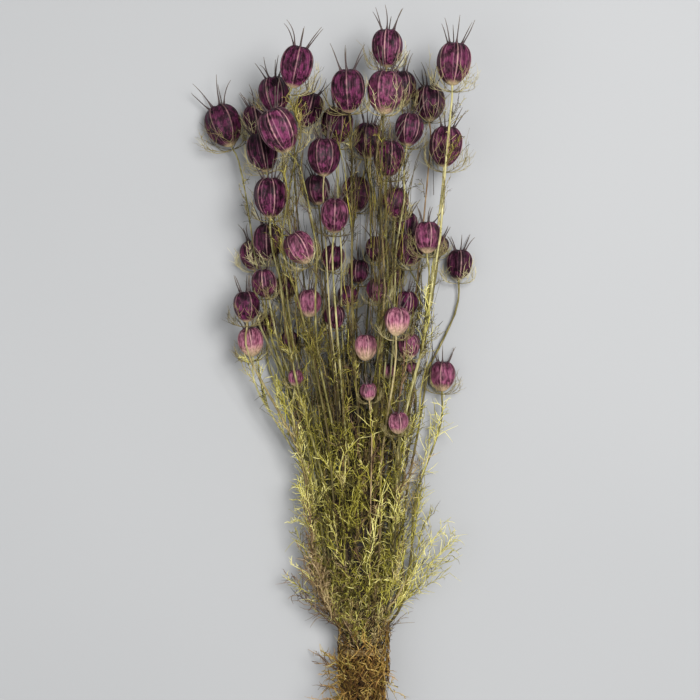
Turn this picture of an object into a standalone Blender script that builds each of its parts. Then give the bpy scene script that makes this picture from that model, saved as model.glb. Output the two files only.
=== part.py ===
"""A dried bunch of nigella seed pods, lying on a surface.

+Y runs along the bunch from the cut ends to the seed heads, +X to its right and +Z up. The origin is
the flat spot under the tie. Lengths are in metres: MM turns millimetres into metres.
"""

import math
import random

import bmesh
import bpy
import numpy as np
from mathutils import Matrix, Vector

MM = 0.001
SEED = 7

# Heads: where each one lies (x, y) in millimetres, its layer (0 is on the surface), its width in
# millimetres and how many degrees it leans to the right, from the far end of the bunch down
HEADS = (
    (15, 396, 2, 20, 2),
    (58, 386, 2, 22, 4),
    (-43, 381, 3, 21.5, 12),
    (25, 376, 0, 19.5, -2),
    (-59, 369, 1, 19.5, -8),
    (44, 366, 0, 20, 0),
    (-10, 366, 3, 22, -3),
    (13, 365, 3, 22, 3),
    (-36, 359, 1, 19, 16),
    (-73, 354, 0, 18, -12),
    (-93, 351, 0, 23, -20),
    (-18, 349, 1, 20, 0),
    (30, 346, 1, 18, 8),
    (3, 341, 0, 19.5, 4),
    (-55, 341, 3, 23, -24),
    (54, 335, 1, 21.5, 5),
    (-67, 331, 1, 21, -12),
    (-26, 326, 2, 20, 0),
    (16, 325, 2, 19.5, 4),
    (-31, 308, 0, 17, -5),
    (-5, 305, 0, 19.5, 3),
    (-61, 300, 2, 21, -1),
    (21, 298, 1, 17, 2),
    (-19, 287, 3, 18.5, 2),
    (28, 284, 0, 16, 5),
    (41, 274, 2, 17.5, 0),
    (-63, 272, 1, 20, -1),
    (51, 270, 0, 12, 8),
    (30, 267, 1, 18, -3),
    (9, 267, 1, 15, -6),
    (-42, 266, 3, 18, -28),
    (-74, 264, 0, 17, -6),
    (-20, 261, 1, 15, 12),
    (64, 258, 0, 17, 2),
    (-3, 253, 0, 14, 3),
    (21, 250, 0, 12, 4),
    (-65, 244, 2, 16, -6),
    (-52, 242, 0, 14.5, 4),
    (9, 239, 2, 14, -3),
    (-11, 236, 1, 13, -2),
    (-36, 231, 2, 15.5, -2),
    (28, 231, 1, 15, 6),
    (-77, 229, 2, 17, -4),
    (-19, 222, 2, 13.5, -5),
    (21, 219, 3, 16, 2),
    (-65, 217, 0, 13, -4),
    (-75, 206, 1, 16.5, -8),
    (-49, 206, 1, 12, -6),
    (30, 203, 2, 14, -4),
    (1, 202, 2, 15, 0),
    (32, 188, 1, 8, -5),
    (16, 186, 1, 9, 3),
    (53, 183, 0, 17, 3),
    (-45, 182, 2, 10, 3),
    (3, 173, 3, 10.5, -4),
    (22, 153, 3, 13, -3),
)
LAYER_PITCH = 19.5 * MM
LAYERS_MEET_Y = -250 * MM  # the layers of heads lie closer together nearer to the tie
FULL_DEPTH_Y = 360 * MM
POD_GAP = 1.6 * MM
NOD = 7.0  # degrees that a head tips up or down from the slope of its stem
SLOPE_SHARE = 0.8

# Pods
LENGTH_OVER_WIDTH = 0.92
LONGER_BY_WIDTH = 14.5  # added to that ratio for each metre of width
SIX_CARPELS_FROM = 17.5 * MM
SKIN_POWER = 2.3
SKIN_ROWS = 5
GROOVE = 0.9
NARROWER_BASE = 0.07
FLATTER_TOP = 0.1
HORN_ROOT_ALONG = 0.78
HORN_ROOT_OUT = 0.4
HORN_LENGTH = 1.3
HORN_LEAN = (14.0, 34.0)
HORN_RADIUS = 0.8 * MM
HORN_GAP = 1.3 * MM

# Tie
TIE_INNER_RADIUS = 13.6 * MM
TIE_THICKNESS = 1.9 * MM
TIE_WIDTH = 4.5 * MM
TIE_SIDES = 24
PRESSED_FLAT = 0.35 * MM
TIE_HEIGHT = TIE_INNER_RADIUS + TIE_THICKNESS - PRESSED_FLAT

# Stems: they pass through the tie in a round bundle, then fan out
CUT_END_Y = -45 * MM
BUNDLE_RADIUS = 10.4 * MM
BUNDLE_PITCH = 2.2 * MM
STEM_RADIUS = 0.85 * MM
DRAWN_STEM_RADIUS = 1.2 * MM
STEM_GAP = 1.3 * MM
STEM_TOLERANCE = 1.0 * MM
STRAIGHT_NECK = 24 * MM
NECK_GAP = 0.6 * MM
HELD_NECK = 8 * MM
SWAY = 1.2 * MM
FAN = (  # y along the bunch and half the width of the fan of stems there, in millimetres
    (0, 11),
    (20, 20),
    (37, 26),
    (63, 30),
    (89, 32),
    (115, 35),
    (134, 40),
    (157, 48),
    (183, 60),
    (206, 69),
    (240, 76),
    (300, 88),
    (420, 110),
)
CORE_FLUTES = 12
CORE = (  # y, half the width and half the height, in millimetres
    (-45, 13.3, 13.3),
    (0, 13.0, 13.0),
    (25, 15.5, 12.5),
    (60, 20.0, 12.0),
    (100, 20.0, 11.0),
    (135, 17.0, 9.0),
    (165, 10.0, 6.0),
    (190, 3.0, 2.5),
)

# Bracts and leaves
FLOOR_GAP = 0.7 * MM
BRACT_RADIUS = 0.6 * MM
BRACTS_PER_HEAD = 3
RIB_RADIUS = 0.75 * MM
THREAD_RADIUS = 0.6 * MM
THREADS = ((0.34, 1), (0.48, -1), (0.64, 1), (0.8, -1))  # how far along the rib, and on which side
FROND_COUNT = 25
FROND_Y = (19 * MM, 205 * MM)
STRAY_SPRIGS = ((30, 62, 76), (30, -50, 47))  # start y, end x and end y, in millimetres
GOLDEN_ANGLE = math.pi * (3 - math.sqrt(5))

# Brown leaves round the cut ends
SLEEVE_INNER_RADIUS = 13.8 * MM
SLEEVE_OUTER_RADIUS = 14.8 * MM
SLEEVE_Y = (-43 * MM, -5 * MM)
SLEEVE_SIDES = 18
SLEEVE_NOTCHES = (0, 4 * MM, 1.5 * MM)
DRY_FROND_COUNT = 5
DRY_LIMIT_Y = 11 * MM

POD_FINISH = ((0.105, 0.012, 0.038, 1), 0.5)
GREEN_FINISH = ((0.26, 0.26, 0.05, 1), 0.75)
DRY_FINISH = ((0.17, 0.085, 0.027, 1), 0.85)
TIE_FINISH = ((0.39, 0.30, 0.11, 1), 0.8)


def unit(vector):
    return vector / np.linalg.norm(vector)


class Head:
    """One seed head: where its pod lies, which way it points and how big it is."""

    def __init__(self, number, row, draw):
        x, y, layer, width, lean = row
        width *= MM
        self.name = f"pod_{number:02d}"
        self.radius = width / 2
        self.half_length = self.radius * (LENGTH_OVER_WIDTH + LONGER_BY_WIDTH * width)
        self.carpels = 6 if width > SIX_CARPELS_FROM else 5
        self.turn = draw.uniform(0, 2 * math.pi / self.carpels)
        deep = (y * MM - LAYERS_MEET_Y) / (FULL_DEPTH_Y - LAYERS_MEET_Y)
        height = self.radius + layer * LAYER_PITCH * deep
        self.centre = np.array((x * MM, y * MM, height))
        rise = math.atan2(height - TIE_HEIGHT, y * MM) * SLOPE_SHARE
        rise += math.radians(draw.uniform(-NOD, NOD))
        lean = math.radians(lean)
        self.axis = np.array(
            (math.sin(lean) * math.cos(rise), math.cos(lean) * math.cos(rise), math.sin(rise))
        )
        self.side = unit(np.cross(self.axis, (0, 0, 1)))
        self.under = np.cross(self.axis, self.side)
        if layer == 0:
            self.centre[2] = self.drop() - PRESSED_FLAT

    def at(self, along, out, angle):
        """The point that far along the axis from the centre, and that far out from the axis."""
        outward = math.cos(angle) * self.side + math.sin(angle) * self.under
        return self.centre + along * self.axis + out * outward

    def base(self):
        return self.centre - self.axis * self.half_length

    def place(self):
        """The matrix that takes a pod modelled along +Z round the origin to where it lies."""
        turned = Matrix(np.array((self.side, self.under, self.axis)).T.tolist())
        return Matrix.Translation(self.centre) @ turned.to_4x4()

    def skin(self, height, angle):
        """Where the pod's skin is, as (along, out), at a height of -1 to 1 and an angle round it."""
        out = (1 - min(1, abs(height)) ** SKIN_POWER) ** (1 / SKIN_POWER)
        rib = math.cos(self.carpels * (angle - self.turn))
        out *= 1 - (1 - GROOVE) * (1 - rib) / 2
        out *= 1 - NARROWER_BASE * max(0, -height)
        along = height * (1 - FLATTER_TOP * max(0, height) ** 4)
        return along * self.half_length, out * self.radius

    def drop(self):
        """How far the pod reaches below its centre."""
        lowest = self.centre[2]
        for row in range(1, SKIN_ROWS):
            for side in range(2 * self.carpels):
                angle = self.turn + math.pi * side / self.carpels
                along, out = self.skin(math.cos(math.pi * row / SKIN_ROWS), angle)
                lowest = min(lowest, self.at(along, out, angle)[2])
        return self.centre[2] - lowest

    def balls(self):
        """Three balls that fill the pod, as (centre, radius)."""
        step = 0.5 * (self.half_length - 0.8 * self.radius) + 0.25 * self.radius
        for along, share in ((-step, 0.8), (0, 1.0), (step, 0.8)):
            yield self.centre + along * self.axis, share * self.radius

    def depth(self, points, gap):
        """Under 1 for the points that are inside the pod or nearer to it than the gap."""
        offset = points - self.centre
        along = offset @ self.axis
        out = np.linalg.norm(offset - np.outer(along, self.axis), axis=1)
        along = np.abs(along) / (self.half_length + gap)
        out = out / (self.radius + gap)
        return (along**SKIN_POWER + out**SKIN_POWER) ** (1 / SKIN_POWER)


def settle(heads):
    """Pushes pods that meet apart, mostly up and down, and keeps them on or above the surface."""
    for _ in range(400):
        moved = False
        for number, one in enumerate(heads):
            for other in heads[number + 1 :]:
                gaps = [
                    (np.linalg.norm(b - a) - r - s, b - a)
                    for a, r in one.balls()
                    for b, s in other.balls()
                ]
                gap, offset = min(gaps, key=lambda pair: pair[0])
                if gap >= POD_GAP:
                    continue
                moved = True
                push = unit(offset * (0.35, 0.35, 1.0)) * (POD_GAP - gap) * 0.55
                one.centre = one.centre - push
                other.centre = other.centre + push
        for head in heads:
            head.centre[2] = max(head.centre[2], head.drop() - PRESSED_FLAT)
        if not moved:
            return


def bundle_places(heads):
    """Where each stem passes through the tie, as (x, z) from its middle: packed as the heads lie."""
    middle = max(head.centre[2] for head in heads) / 2
    places = np.array([(head.centre[0] * 0.1, (head.centre[2] - middle) * 0.18) for head in heads])
    for _ in range(300):
        offset = places[:, None] - places[None]
        gap = np.linalg.norm(offset, axis=2) + 1e-9
        push = np.clip(BUNDLE_PITCH - gap, 0, None) / gap
        np.fill_diagonal(push, 0)
        places = places + 0.3 * (offset * push[:, :, None]).sum(axis=1)
        reach = np.linalg.norm(places, axis=1, keepdims=True)
        places = places * np.minimum(1, BUNDLE_RADIUS / (reach + 1e-9))
    return places


def fan_width(y):
    return np.interp(y / MM, *zip(*FAN)) * MM


def smooth_path(knots, step):
    """Points about a step apart on a smooth curve through the knots."""
    knots = np.array(knots)
    knots = np.vstack((2 * knots[0] - knots[1], knots, 2 * knots[-1] - knots[-2]))
    path = []
    for a, b, c, d in zip(knots, knots[1:], knots[2:], knots[3:]):
        count = max(2, round(np.linalg.norm(c - b) / step))
        for t in np.arange(count) / count:
            bend = (2 * a - 5 * b + 4 * c - d) * t**2 + (3 * b - a - 3 * c + d) * t**3
            path.append(0.5 * (2 * b + (c - a) * t + bend))
    path.append(knots[-2])
    return np.array(path)


def stem_path(head, place, heads, draw):
    """From the cut end through the tie and up the fan to the pod."""
    tie = np.array((place[0], 0, TIE_HEIGHT + place[1]))
    cut = np.array((place[0] * 1.05, CUT_END_Y, TIE_HEIGHT + place[1] * 1.05))
    base = head.base() - head.axis * NECK_GAP
    neck = base - head.axis * STRAIGHT_NECK
    knots = [cut, tie]
    for share in (0.2, 0.42, 0.68):
        y = share * neck[1]
        wide = fan_width(y)
        x = np.clip(neck[0] * wide / fan_width(neck[1]), -1.08 * wide, 1.08 * wide)
        rise = (wide - fan_width(0)) / (fan_width(neck[1]) - fan_width(0))
        z = TIE_HEIGHT + (neck[2] - TIE_HEIGHT) * rise
        knots.append(np.array((x + draw.uniform(-SWAY, SWAY), y, z + draw.uniform(-SWAY, SWAY))))
    knots += [neck, base]
    return round_pods(smooth_path(knots, 6 * MM), head, heads)


def round_pods(path, own, heads):
    """The path, bent smoothly round every pod but its own and kept off the surface."""
    shift = np.zeros_like(path)
    held = np.linalg.norm(path - path[-1], axis=1) < HELD_NECK
    for turn in range(80):
        blocked = False
        for head in heads:
            if head is own:
                continue
            points = path + shift
            depth = head.depth(points, STEM_RADIUS + STEM_GAP)
            inside = (depth < 1) & ~held
            if not inside.any():
                continue
            blocked = True
            offset = points - head.centre
            across = offset - np.outer(offset @ head.axis, head.axis)
            way = across[inside].mean(axis=0)
            way = unit(way) if np.linalg.norm(way) > 0.01 * MM else head.side
            shift[inside] += np.outer((1 - depth[inside]) * head.radius + 0.1 * MM, way)
        if turn < 60:
            even = (shift[:-2] + shift[2:]) / 2
            eased = 0.5 * (shift[1:-1] + even)
            shift[1:-1] = np.where(held[1:-1, None], shift[1:-1], eased)
        shift[:, 2] = np.maximum(shift[:, 2], STEM_RADIUS + FLOOR_GAP - path[:, 2])
        if turn > 60 and not blocked:
            break
    return path + shift


def thinned(path, tolerance):
    """The path without the points that its straight runs don't need."""
    if len(path) < 3:
        return path
    run = path[-1] - path[0]
    along = np.clip((path - path[0]) @ run / (run @ run), 0, 1)
    off = np.linalg.norm(path - path[0] - np.outer(along, run), axis=1)
    worst = int(off.argmax())
    if off[worst] < tolerance:
        return path[[0, -1]]
    return np.vstack((thinned(path[: worst + 1], tolerance)[:-1], thinned(path[worst:], tolerance)))


def sampled(path, step=1.5 * MM):
    """Points at most a step apart along the path."""
    runs = []
    for a, b in zip(path, path[1:]):
        count = max(2, int(np.linalg.norm(b - a) / step) + 2)
        runs.append(a + np.linspace(0, 1, count)[:, None] * (b - a))
    return np.vstack(runs)


def crossing(path, y):
    """Where the path crosses that y, as (x, z)."""
    return np.array((np.interp(y, path[:, 1], path[:, 0]), np.interp(y, path[:, 1], path[:, 2])))


class Room:
    """What a thin piece has to stay clear of: the surface, the pods, the stems and the horns."""

    def __init__(self, heads, stems):
        self.heads = heads
        self.stems = np.vstack([sampled(path) for path in stems])
        self.horns = np.empty((0, 3))

    def off_pods(self, path, gap, own=None):
        line = sampled(path)
        if line[:, 2].min() < FLOOR_GAP + gap / 2:
            return False
        return all(head is own or head.depth(line, gap).min() > 1 for head in self.heads)

    def off_horns(self, path, gap):
        return not len(self.horns) or distance(self.horns, path) > gap

    def off_stems(self, path, gap):
        return distance(self.stems, path) > gap


def distance(points, path):
    return np.linalg.norm(points[None] - sampled(path)[:, None], axis=2).min()


def horn_paths(head, room, draw):
    """The pod's horns, each leant, turned or shortened until it misses what stands round it."""
    made = []
    along = HORN_ROOT_ALONG * head.half_length
    out = HORN_ROOT_OUT * head.radius
    for index in range(head.carpels):
        nominal = draw.uniform(*HORN_LEAN)
        full = head.half_length * HORN_LENGTH * draw.uniform(0.85, 1.1)
        tries = (
            (full * share, math.radians(nominal + more), turn)
            for share in (1, 0.8, 0.6, 0.45, 0.3)
            for more in (0, -12, 12, 22)
            for turn in (0, 0.22, -0.22)
        )
        for length, lean, turn in tries:
            angle = head.turn + 2 * math.pi * index / head.carpels + turn
            tip = head.at(along + length * math.cos(lean), out + length * math.sin(lean), angle)
            root = head.at(along, out, angle)
            path = np.array((root, tip))
            bare = np.array((root + 0.2 * (tip - root), tip))
            free = room.off_pods(path, HORN_GAP, head)
            free = free and room.off_stems(bare, DRAWN_STEM_RADIUS + HORN_GAP)
            if free and room.off_horns(bare, HORN_RADIUS + HORN_GAP):
                made.append(path)
                break
    for path in made:
        room.horns = np.vstack((room.horns, sampled(path)))
    return made


def bract_paths(head, room, draw):
    """The thread-like bracts, which go out from the stem under the pod and up beside it."""
    made = []
    first = draw.uniform(0, 2 * math.pi)
    root = head.base() - head.axis * 0.9 * head.radius
    for index in range(BRACTS_PER_HEAD):
        reach = draw.uniform(-0.1, 0.5) * head.half_length
        for turn in (0, 0.4, -0.4, 0.8, -0.8):
            angle = first + 2 * math.pi * index / BRACTS_PER_HEAD + turn
            path = np.array((root, head.at(reach, 1.3 * head.radius + 1.5 * MM, angle)))
            free = room.off_pods(path, BRACT_RADIUS + 0.5 * MM, head)
            free = free and head.depth(sampled(path), 0.2 * MM).min() > 1
            if free and room.off_horns(path, BRACT_RADIUS + HORN_RADIUS + 0.6 * MM):
                made.append(path)
                break
    return made


def frond_paths(root, aim, length, draw):
    """A leaf: its rib first, then the threads that stand off both sides of it."""
    bend = np.array([draw.uniform(-0.25, 0.25) for _ in range(3)])
    middle = root + aim * 0.5 * length
    far = unit(aim + bend)
    tip = middle + far * 0.5 * length
    flat = unit(np.cross(aim, [draw.uniform(-1, 1) for _ in range(3)]))
    paths = [np.array((root, middle, tip))]
    for share, side in THREADS:
        start = root + aim * share * length if share < 0.5 else middle + far * (share - 0.5) * length
        way = unit(aim * 0.8 + far * 0.3 + side * flat * 0.75)
        paths.append(np.array((start, start + way * length * draw.uniform(0.24, 0.34))))
    return paths


def kept_clear(frond, room):
    """The frond's paths that miss the pods and horns, or none of them where its rib doesn't."""
    kept = []
    for path in frond:
        free = room.off_pods(path, THREAD_RADIUS + 0.6 * MM)
        free = free and room.off_horns(path, THREAD_RADIUS + HORN_RADIUS + 0.6 * MM)
        if free:
            kept.append(path)
        elif not kept:
            return []
    return kept


def fronds(stems, room, draw):
    """Leaves round the outside of the fan, each from the outermost stem on its side."""
    made = []
    for index in range(FROND_COUNT):
        y = FROND_Y[0] + ((index + 0.5) / FROND_COUNT) ** 1.15 * (FROND_Y[1] - FROND_Y[0])
        spots = np.array([crossing(stem, y) for stem in stems])
        for attempt in range(14):
            angle = (index + 0.37 * attempt) * GOLDEN_ANGLE
            side = np.array((1.25 * math.cos(angle), 0.8 * math.sin(angle)))
            x, z = spots[int(((spots - spots.mean(axis=0)) @ side).argmax())]
            side = unit(side)
            spread = math.radians(draw.uniform(8, 26))
            aim = (side[0] * math.sin(spread), math.cos(spread), side[1] * math.sin(spread))
            length = draw.uniform(30, 46) * MM
            frond = kept_clear(frond_paths(np.array((x, y, z)), np.array(aim), length, draw), room)
            if frond:
                made.append(frond)
                break
    for start_y, end_x, end_y in STRAY_SPRIGS:
        spots = np.array([crossing(stem, start_y * MM) for stem in stems])
        x, z = spots[int((spots[:, 0] * math.copysign(1, end_x)).argmax())]
        root = np.array((x, start_y * MM, z))
        run = np.array((end_x * MM, end_y * MM, z + 4 * MM)) - root
        made.append(kept_clear(frond_paths(root, unit(run), np.linalg.norm(run), draw), room))
    return made


def material(name, finish):
    colour, roughness = finish
    made = bpy.data.materials.new(name)
    made.use_nodes = True
    shader = made.node_tree.nodes["Principled BSDF"]
    shader.inputs["Base Color"].default_value = colour
    shader.inputs["Roughness"].default_value = roughness
    shader.inputs["Metallic"].default_value = 0.0
    return made


def new_object(name, mesh, collection):
    made = bpy.data.objects.new(name, mesh)
    collection.objects.link(made)
    return made


def mesh_of(work, name):
    mesh = bpy.data.meshes.new(name)
    work.to_mesh(mesh)
    work.free()
    return mesh


def evaluated_mesh(item):
    """The object's mesh as its modifiers or its curve's bevel make it."""
    return bpy.data.meshes.new_from_object(item.evaluated_get(bpy.context.evaluated_depsgraph_get()))


def spike(path, radius, pieces):
    """A three-sided cone from the path's first point to its last: a horn, a bract or a thread."""
    root, tip = Vector(path[0]), Vector(path[-1])
    run = tip - root
    work = bmesh.new()
    bmesh.ops.create_cone(
        work, cap_ends=True, segments=3, radius1=radius, radius2=0, depth=run.length
    )
    bmesh.ops.remove_doubles(work, verts=work.verts, dist=1e-6)
    made = new_object("spike", mesh_of(work, "spike"), pieces)
    turned = run.to_track_quat("Z", "Y").to_matrix().to_4x4()
    made.matrix_world = Matrix.Translation((root + tip) / 2) @ turned


def rod(path, radius, pieces):
    """A three-sided rod along the path: a stem or a leaf's rib."""
    profile = new_object("profile", bpy.data.curves.new("profile", "CURVE"), pieces)
    outline = profile.data.splines.new("POLY")
    outline.points.add(2)
    outline.use_cyclic_u = True
    for corner, point in enumerate(outline.points):
        angle = 2 * math.pi * corner / 3
        point.co = (radius * math.cos(angle), radius * math.sin(angle), 0, 1)
    line = bpy.data.curves.new("rod", "CURVE")
    line.dimensions = "3D"
    line.bevel_mode = "OBJECT"
    line.bevel_object = profile
    line.use_fill_caps = True
    spline = line.splines.new("POLY")
    spline.points.add(len(path) - 1)
    for point, place in zip(spline.points, path):
        point.co = (*place, 1)
    curve = new_object("rod", line, pieces)
    work = bmesh.new()
    work.from_mesh(evaluated_mesh(curve))
    bmesh.ops.remove_doubles(work, verts=work.verts, dist=1e-6)
    bmesh.ops.recalc_face_normals(work, faces=work.faces)
    new_object("rod", mesh_of(work, "rod"), pieces)
    bpy.data.objects.remove(curve)
    bpy.data.objects.remove(profile)


def fuse(item, pieces, solver):
    """Joins the pieces to the item, without the hollows that this seals and without scraps."""
    union = item.modifiers.new("Union", "BOOLEAN")
    union.operation = "UNION"
    union.solver = solver
    union.operand_type = "COLLECTION"
    union.collection = pieces
    joined = evaluated_mesh(item)
    item.modifiers.clear()
    item.data = joined
    for piece in list(pieces.objects):
        bpy.data.objects.remove(piece)
    work = bmesh.new()
    work.from_mesh(joined)
    drop_flaps(work)
    keep_outer_skin(work)
    work.to_mesh(joined)
    work.free()


def drop_flaps(work):
    """Removes flaps with no thickness: two faces back to back on the same corners."""
    seen = {}
    flaps = []
    for face in work.faces:
        corners = frozenset(face.verts)
        if corners in seen:
            flaps += [face, seen[corners]]
        seen[corners] = face
    bmesh.ops.delete(work, geom=flaps, context="FACES")


def keep_outer_skin(work):
    """Keeps the largest of the mesh's separate skins."""
    left = set(work.faces)
    skins = []
    while left:
        skin = {left.pop()}
        rim = list(skin)
        while rim:
            near = {other for edge in rim.pop().edges for other in edge.link_faces} & left
            left -= near
            skin |= near
            rim += near
        skins.append(skin)
    largest = max(skins, key=len)
    spare = [face for skin in skins if skin is not largest for face in skin]
    bmesh.ops.delete(work, geom=spare, context="FACES")


def finish(item, look):
    """Cuts off what lies below the surface, so the piece rests on a flat spot, and shades it."""
    to_local = item.matrix_world.inverted()
    work = bmesh.new()
    work.from_mesh(item.data)
    if min((item.matrix_world @ vertex.co).z for vertex in work.verts) < 0:
        bmesh.ops.bisect_plane(
            work,
            geom=work.verts[:] + work.edges[:] + work.faces[:],
            dist=1e-7,
            plane_co=to_local @ Vector((0, 0, 0)),
            plane_no=to_local.to_3x3() @ Vector((0, 0, 1)),
            clear_inner=True,
        )
        bmesh.ops.holes_fill(work, edges=[edge for edge in work.edges if edge.is_boundary])
    bmesh.ops.triangulate(work, faces=work.faces)
    bmesh.ops.recalc_face_normals(work, faces=work.faces)
    work.to_mesh(item.data)
    work.free()
    item.data.name = item.name
    item.data.materials.clear()
    item.data.materials.append(look)
    item.data.shade_smooth()
    item.data.set_sharp_from_angle(angle=math.radians(50))


def pod(head, horns, bunch, pieces, look):
    """A ribbed pod with its horns."""
    work = bmesh.new()
    bmesh.ops.create_uvsphere(work, u_segments=2 * head.carpels, v_segments=SKIN_ROWS, radius=1)
    for vertex in work.verts:
        side = round(math.atan2(vertex.co.y, vertex.co.x) * head.carpels / math.pi)
        angle = head.turn + math.pi * side / head.carpels
        along, out = head.skin(vertex.co.z, angle)
        if vertex.co.xy.length < 0.01:
            out = 0
        vertex.co = (out * math.cos(angle), out * math.sin(angle), along)
    made = new_object(head.name, mesh_of(work, head.name), bunch)
    made.matrix_world = head.place()
    for path in horns:
        spike(path, HORN_RADIUS, pieces)
    fuse(made, pieces, "EXACT")
    finish(made, look)


def core_rows(stems):
    """The rows of the bundle's core, as (y, middle x, middle z, half the width, half the height)."""
    rows = []
    for y, wide, high in CORE:
        x, z = np.mean([crossing(stem, y * MM) for stem in stems], axis=0)
        away = min(1, max(0, y) / 40)
        rows.append((y * MM, x * away, TIE_HEIGHT + (z - TIE_HEIGHT) * away, wide * MM, high * MM))
    return np.array(rows)


def core_mesh(rows):
    """The fluted core: the stems and leaves at the middle of the bundle, as one body."""
    work = bmesh.new()
    rings = []
    for y, x, z, wide, high in rows:
        ring = []
        for side in range(2 * CORE_FLUTES):
            angle = math.pi * side / CORE_FLUTES
            share = 1.0 if side % 2 == 0 else 0.93
            place = (x + share * wide * math.cos(angle), y, z + share * high * math.sin(angle))
            ring.append(work.verts.new(place))
        rings.append(ring)
    for ring, onto in zip(rings, rings[1:]):
        for a, b, c, d in zip(ring, ring[1:] + ring[:1], onto[1:] + onto[:1], onto):
            work.faces.new((a, b, c, d))
    work.faces.new(rings[0])
    work.faces.new(rings[-1])
    bmesh.ops.recalc_face_normals(work, faces=work.faces)
    return mesh_of(work, "core")


def outside_core(stem, core):
    """The stretch of the stem that shows, from a little way inside the core up to the pod."""
    start = 20 * MM
    while start < stem[-1][1] - 12 * MM:
        x, z, wide, high = (np.interp(start, core[:, 0], core[:, column]) for column in range(1, 5))
        off = (crossing(stem, start) - (x, z)) / (wide, high)
        if start > core[-1][0] or np.linalg.norm(off) > 0.85:
            break
        start += 2 * MM
    start -= 9 * MM
    x, z = crossing(stem, start)
    return np.vstack(((x, start, z), stem[stem[:, 1] > start + 2 * MM]))


def leafy_stems(stems, bracts, leaves, bunch, pieces, look):
    """All that grew green, in one body: the core, the stems that fan out of it, bracts and leaves."""
    core = core_rows(stems)
    made = new_object("leafy_stems", core_mesh(core), bunch)
    for stem in stems:
        rod(outside_core(stem, core), DRAWN_STEM_RADIUS, pieces)
    for path in bracts:
        spike(path, BRACT_RADIUS, pieces)
    for frond in leaves:
        for path in frond[1:]:
            spike(path, THREAD_RADIUS, pieces)
        if frond:
            rod(frond[0], RIB_RADIUS, pieces)
    fuse(made, pieces, "MANIFOLD")
    finish(made, look)


def band(name, inner, outer, low_y, high_y, sides, bunch):
    """A turned band round the bundle."""
    profile = bmesh.new()
    corners = ((outer, high_y), (outer, low_y), (inner, low_y), (inner, high_y))
    corners = [profile.verts.new((radius, 0, y)) for radius, y in corners]
    for a, b in zip(corners, corners[1:] + corners[:1]):
        profile.edges.new((a, b))
    made = new_object(name, mesh_of(profile, name), bunch)
    made.matrix_world = Matrix.Translation((0, 0, TIE_HEIGHT)) @ Matrix.Rotation(-math.pi / 2, 4, "X")
    screw = made.modifiers.new("Turn", "SCREW")
    screw.steps = sides
    screw.render_steps = sides
    screw.use_merge_vertices = True
    screw.merge_threshold = 0.00001
    turned = evaluated_mesh(made)
    made.modifiers.clear()
    made.data = turned
    return made


def dry_base_leaves(draw, bunch, pieces, look):
    """The brown leaves round the cut ends: a thin ragged sleeve with loose threads on it."""
    radii = (SLEEVE_INNER_RADIUS, SLEEVE_OUTER_RADIUS)
    made = band("dry_base_leaves", *radii, *SLEEVE_Y, SLEEVE_SIDES, bunch)
    for vertex in made.data.vertices:
        side = round(math.atan2(vertex.co.y, vertex.co.x) * SLEEVE_SIDES / (2 * math.pi))
        notch = SLEEVE_NOTCHES[side % len(SLEEVE_NOTCHES)]
        vertex.co.z -= math.copysign(notch, vertex.co.z - sum(SLEEVE_Y) / 2)
    middle = (SLEEVE_INNER_RADIUS + SLEEVE_OUTER_RADIUS) / 2
    for index in range(DRY_FROND_COUNT):
        angle = index * GOLDEN_ANGLE
        if math.sin(angle) < -0.35:
            angle = -angle
        out = np.array((math.cos(angle), 0, math.sin(angle)))
        y = SLEEVE_Y[0] + (8 + 20 * (index + 0.5) / DRY_FROND_COUNT) * MM
        root = np.array((0, y, TIE_HEIGHT)) + middle * out
        along = draw.uniform(0.3, 0.8) * (1 if index % 3 else -1)
        aim = unit(out * 0.75 + np.array((0, along, 0)))
        frond = frond_paths(root, aim, draw.uniform(22, 34) * MM, draw)
        if off_tie(frond[0]):
            rod(frond[0], RIB_RADIUS, pieces)
            for path in filter(off_tie, frond[1:]):
                spike(path, THREAD_RADIUS, pieces)
    fuse(made, pieces, "MANIFOLD")
    finish(made, look)


def off_tie(path):
    """Whether a brown leaf's path misses the tie, the surface and the green leaves."""
    line = sampled(path)
    out = np.hypot(line[:, 0], line[:, 2] - TIE_HEIGHT)
    beyond = (out > TIE_INNER_RADIUS + TIE_THICKNESS + 1.5 * MM) | (line[:, 1] < -TIE_WIDTH)
    low = line[:, 2].min() < FLOOR_GAP + THREAD_RADIUS
    return beyond.all() and not low and line[:, 1].max() < DRY_LIMIT_Y


def tie(bunch, look):
    """The tie: a flat band wound round the bundle."""
    outer = TIE_INNER_RADIUS + TIE_THICKNESS
    made = band("tie", TIE_INNER_RADIUS, outer, -TIE_WIDTH / 2, TIE_WIDTH / 2, TIE_SIDES, bunch)
    finish(made, look)


def main():
    for item in list(bpy.data.objects):
        bpy.data.objects.remove(item)
    bunch = bpy.data.collections.new("nigella_seed_pod_bunch")
    pieces = bpy.data.collections.new("pieces_to_fuse")
    bpy.context.scene.collection.children.link(bunch)
    bpy.context.scene.collection.children.link(pieces)
    draw = random.Random(SEED)
    heads = [Head(number, row, draw) for number, row in enumerate(HEADS, 1)]
    settle(heads)
    places = bundle_places(heads)
    stems = [stem_path(head, place, heads, draw) for head, place in zip(heads, places)]
    stems = [thinned(path, STEM_TOLERANCE) for path in stems]
    room = Room(heads, stems)
    purple = material("pod", POD_FINISH)
    for head in heads:
        pod(head, horn_paths(head, room, draw), bunch, pieces, purple)
    bracts = [path for head in heads for path in bract_paths(head, room, draw)]
    leaves = fronds(stems, room, draw)
    leafy_stems(stems, bracts, leaves, bunch, pieces, material("green", GREEN_FINISH))
    dry_base_leaves(draw, bunch, pieces, material("dry_leaf", DRY_FINISH))
    tie(bunch, material("tie", TIE_FINISH))


main()
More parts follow.
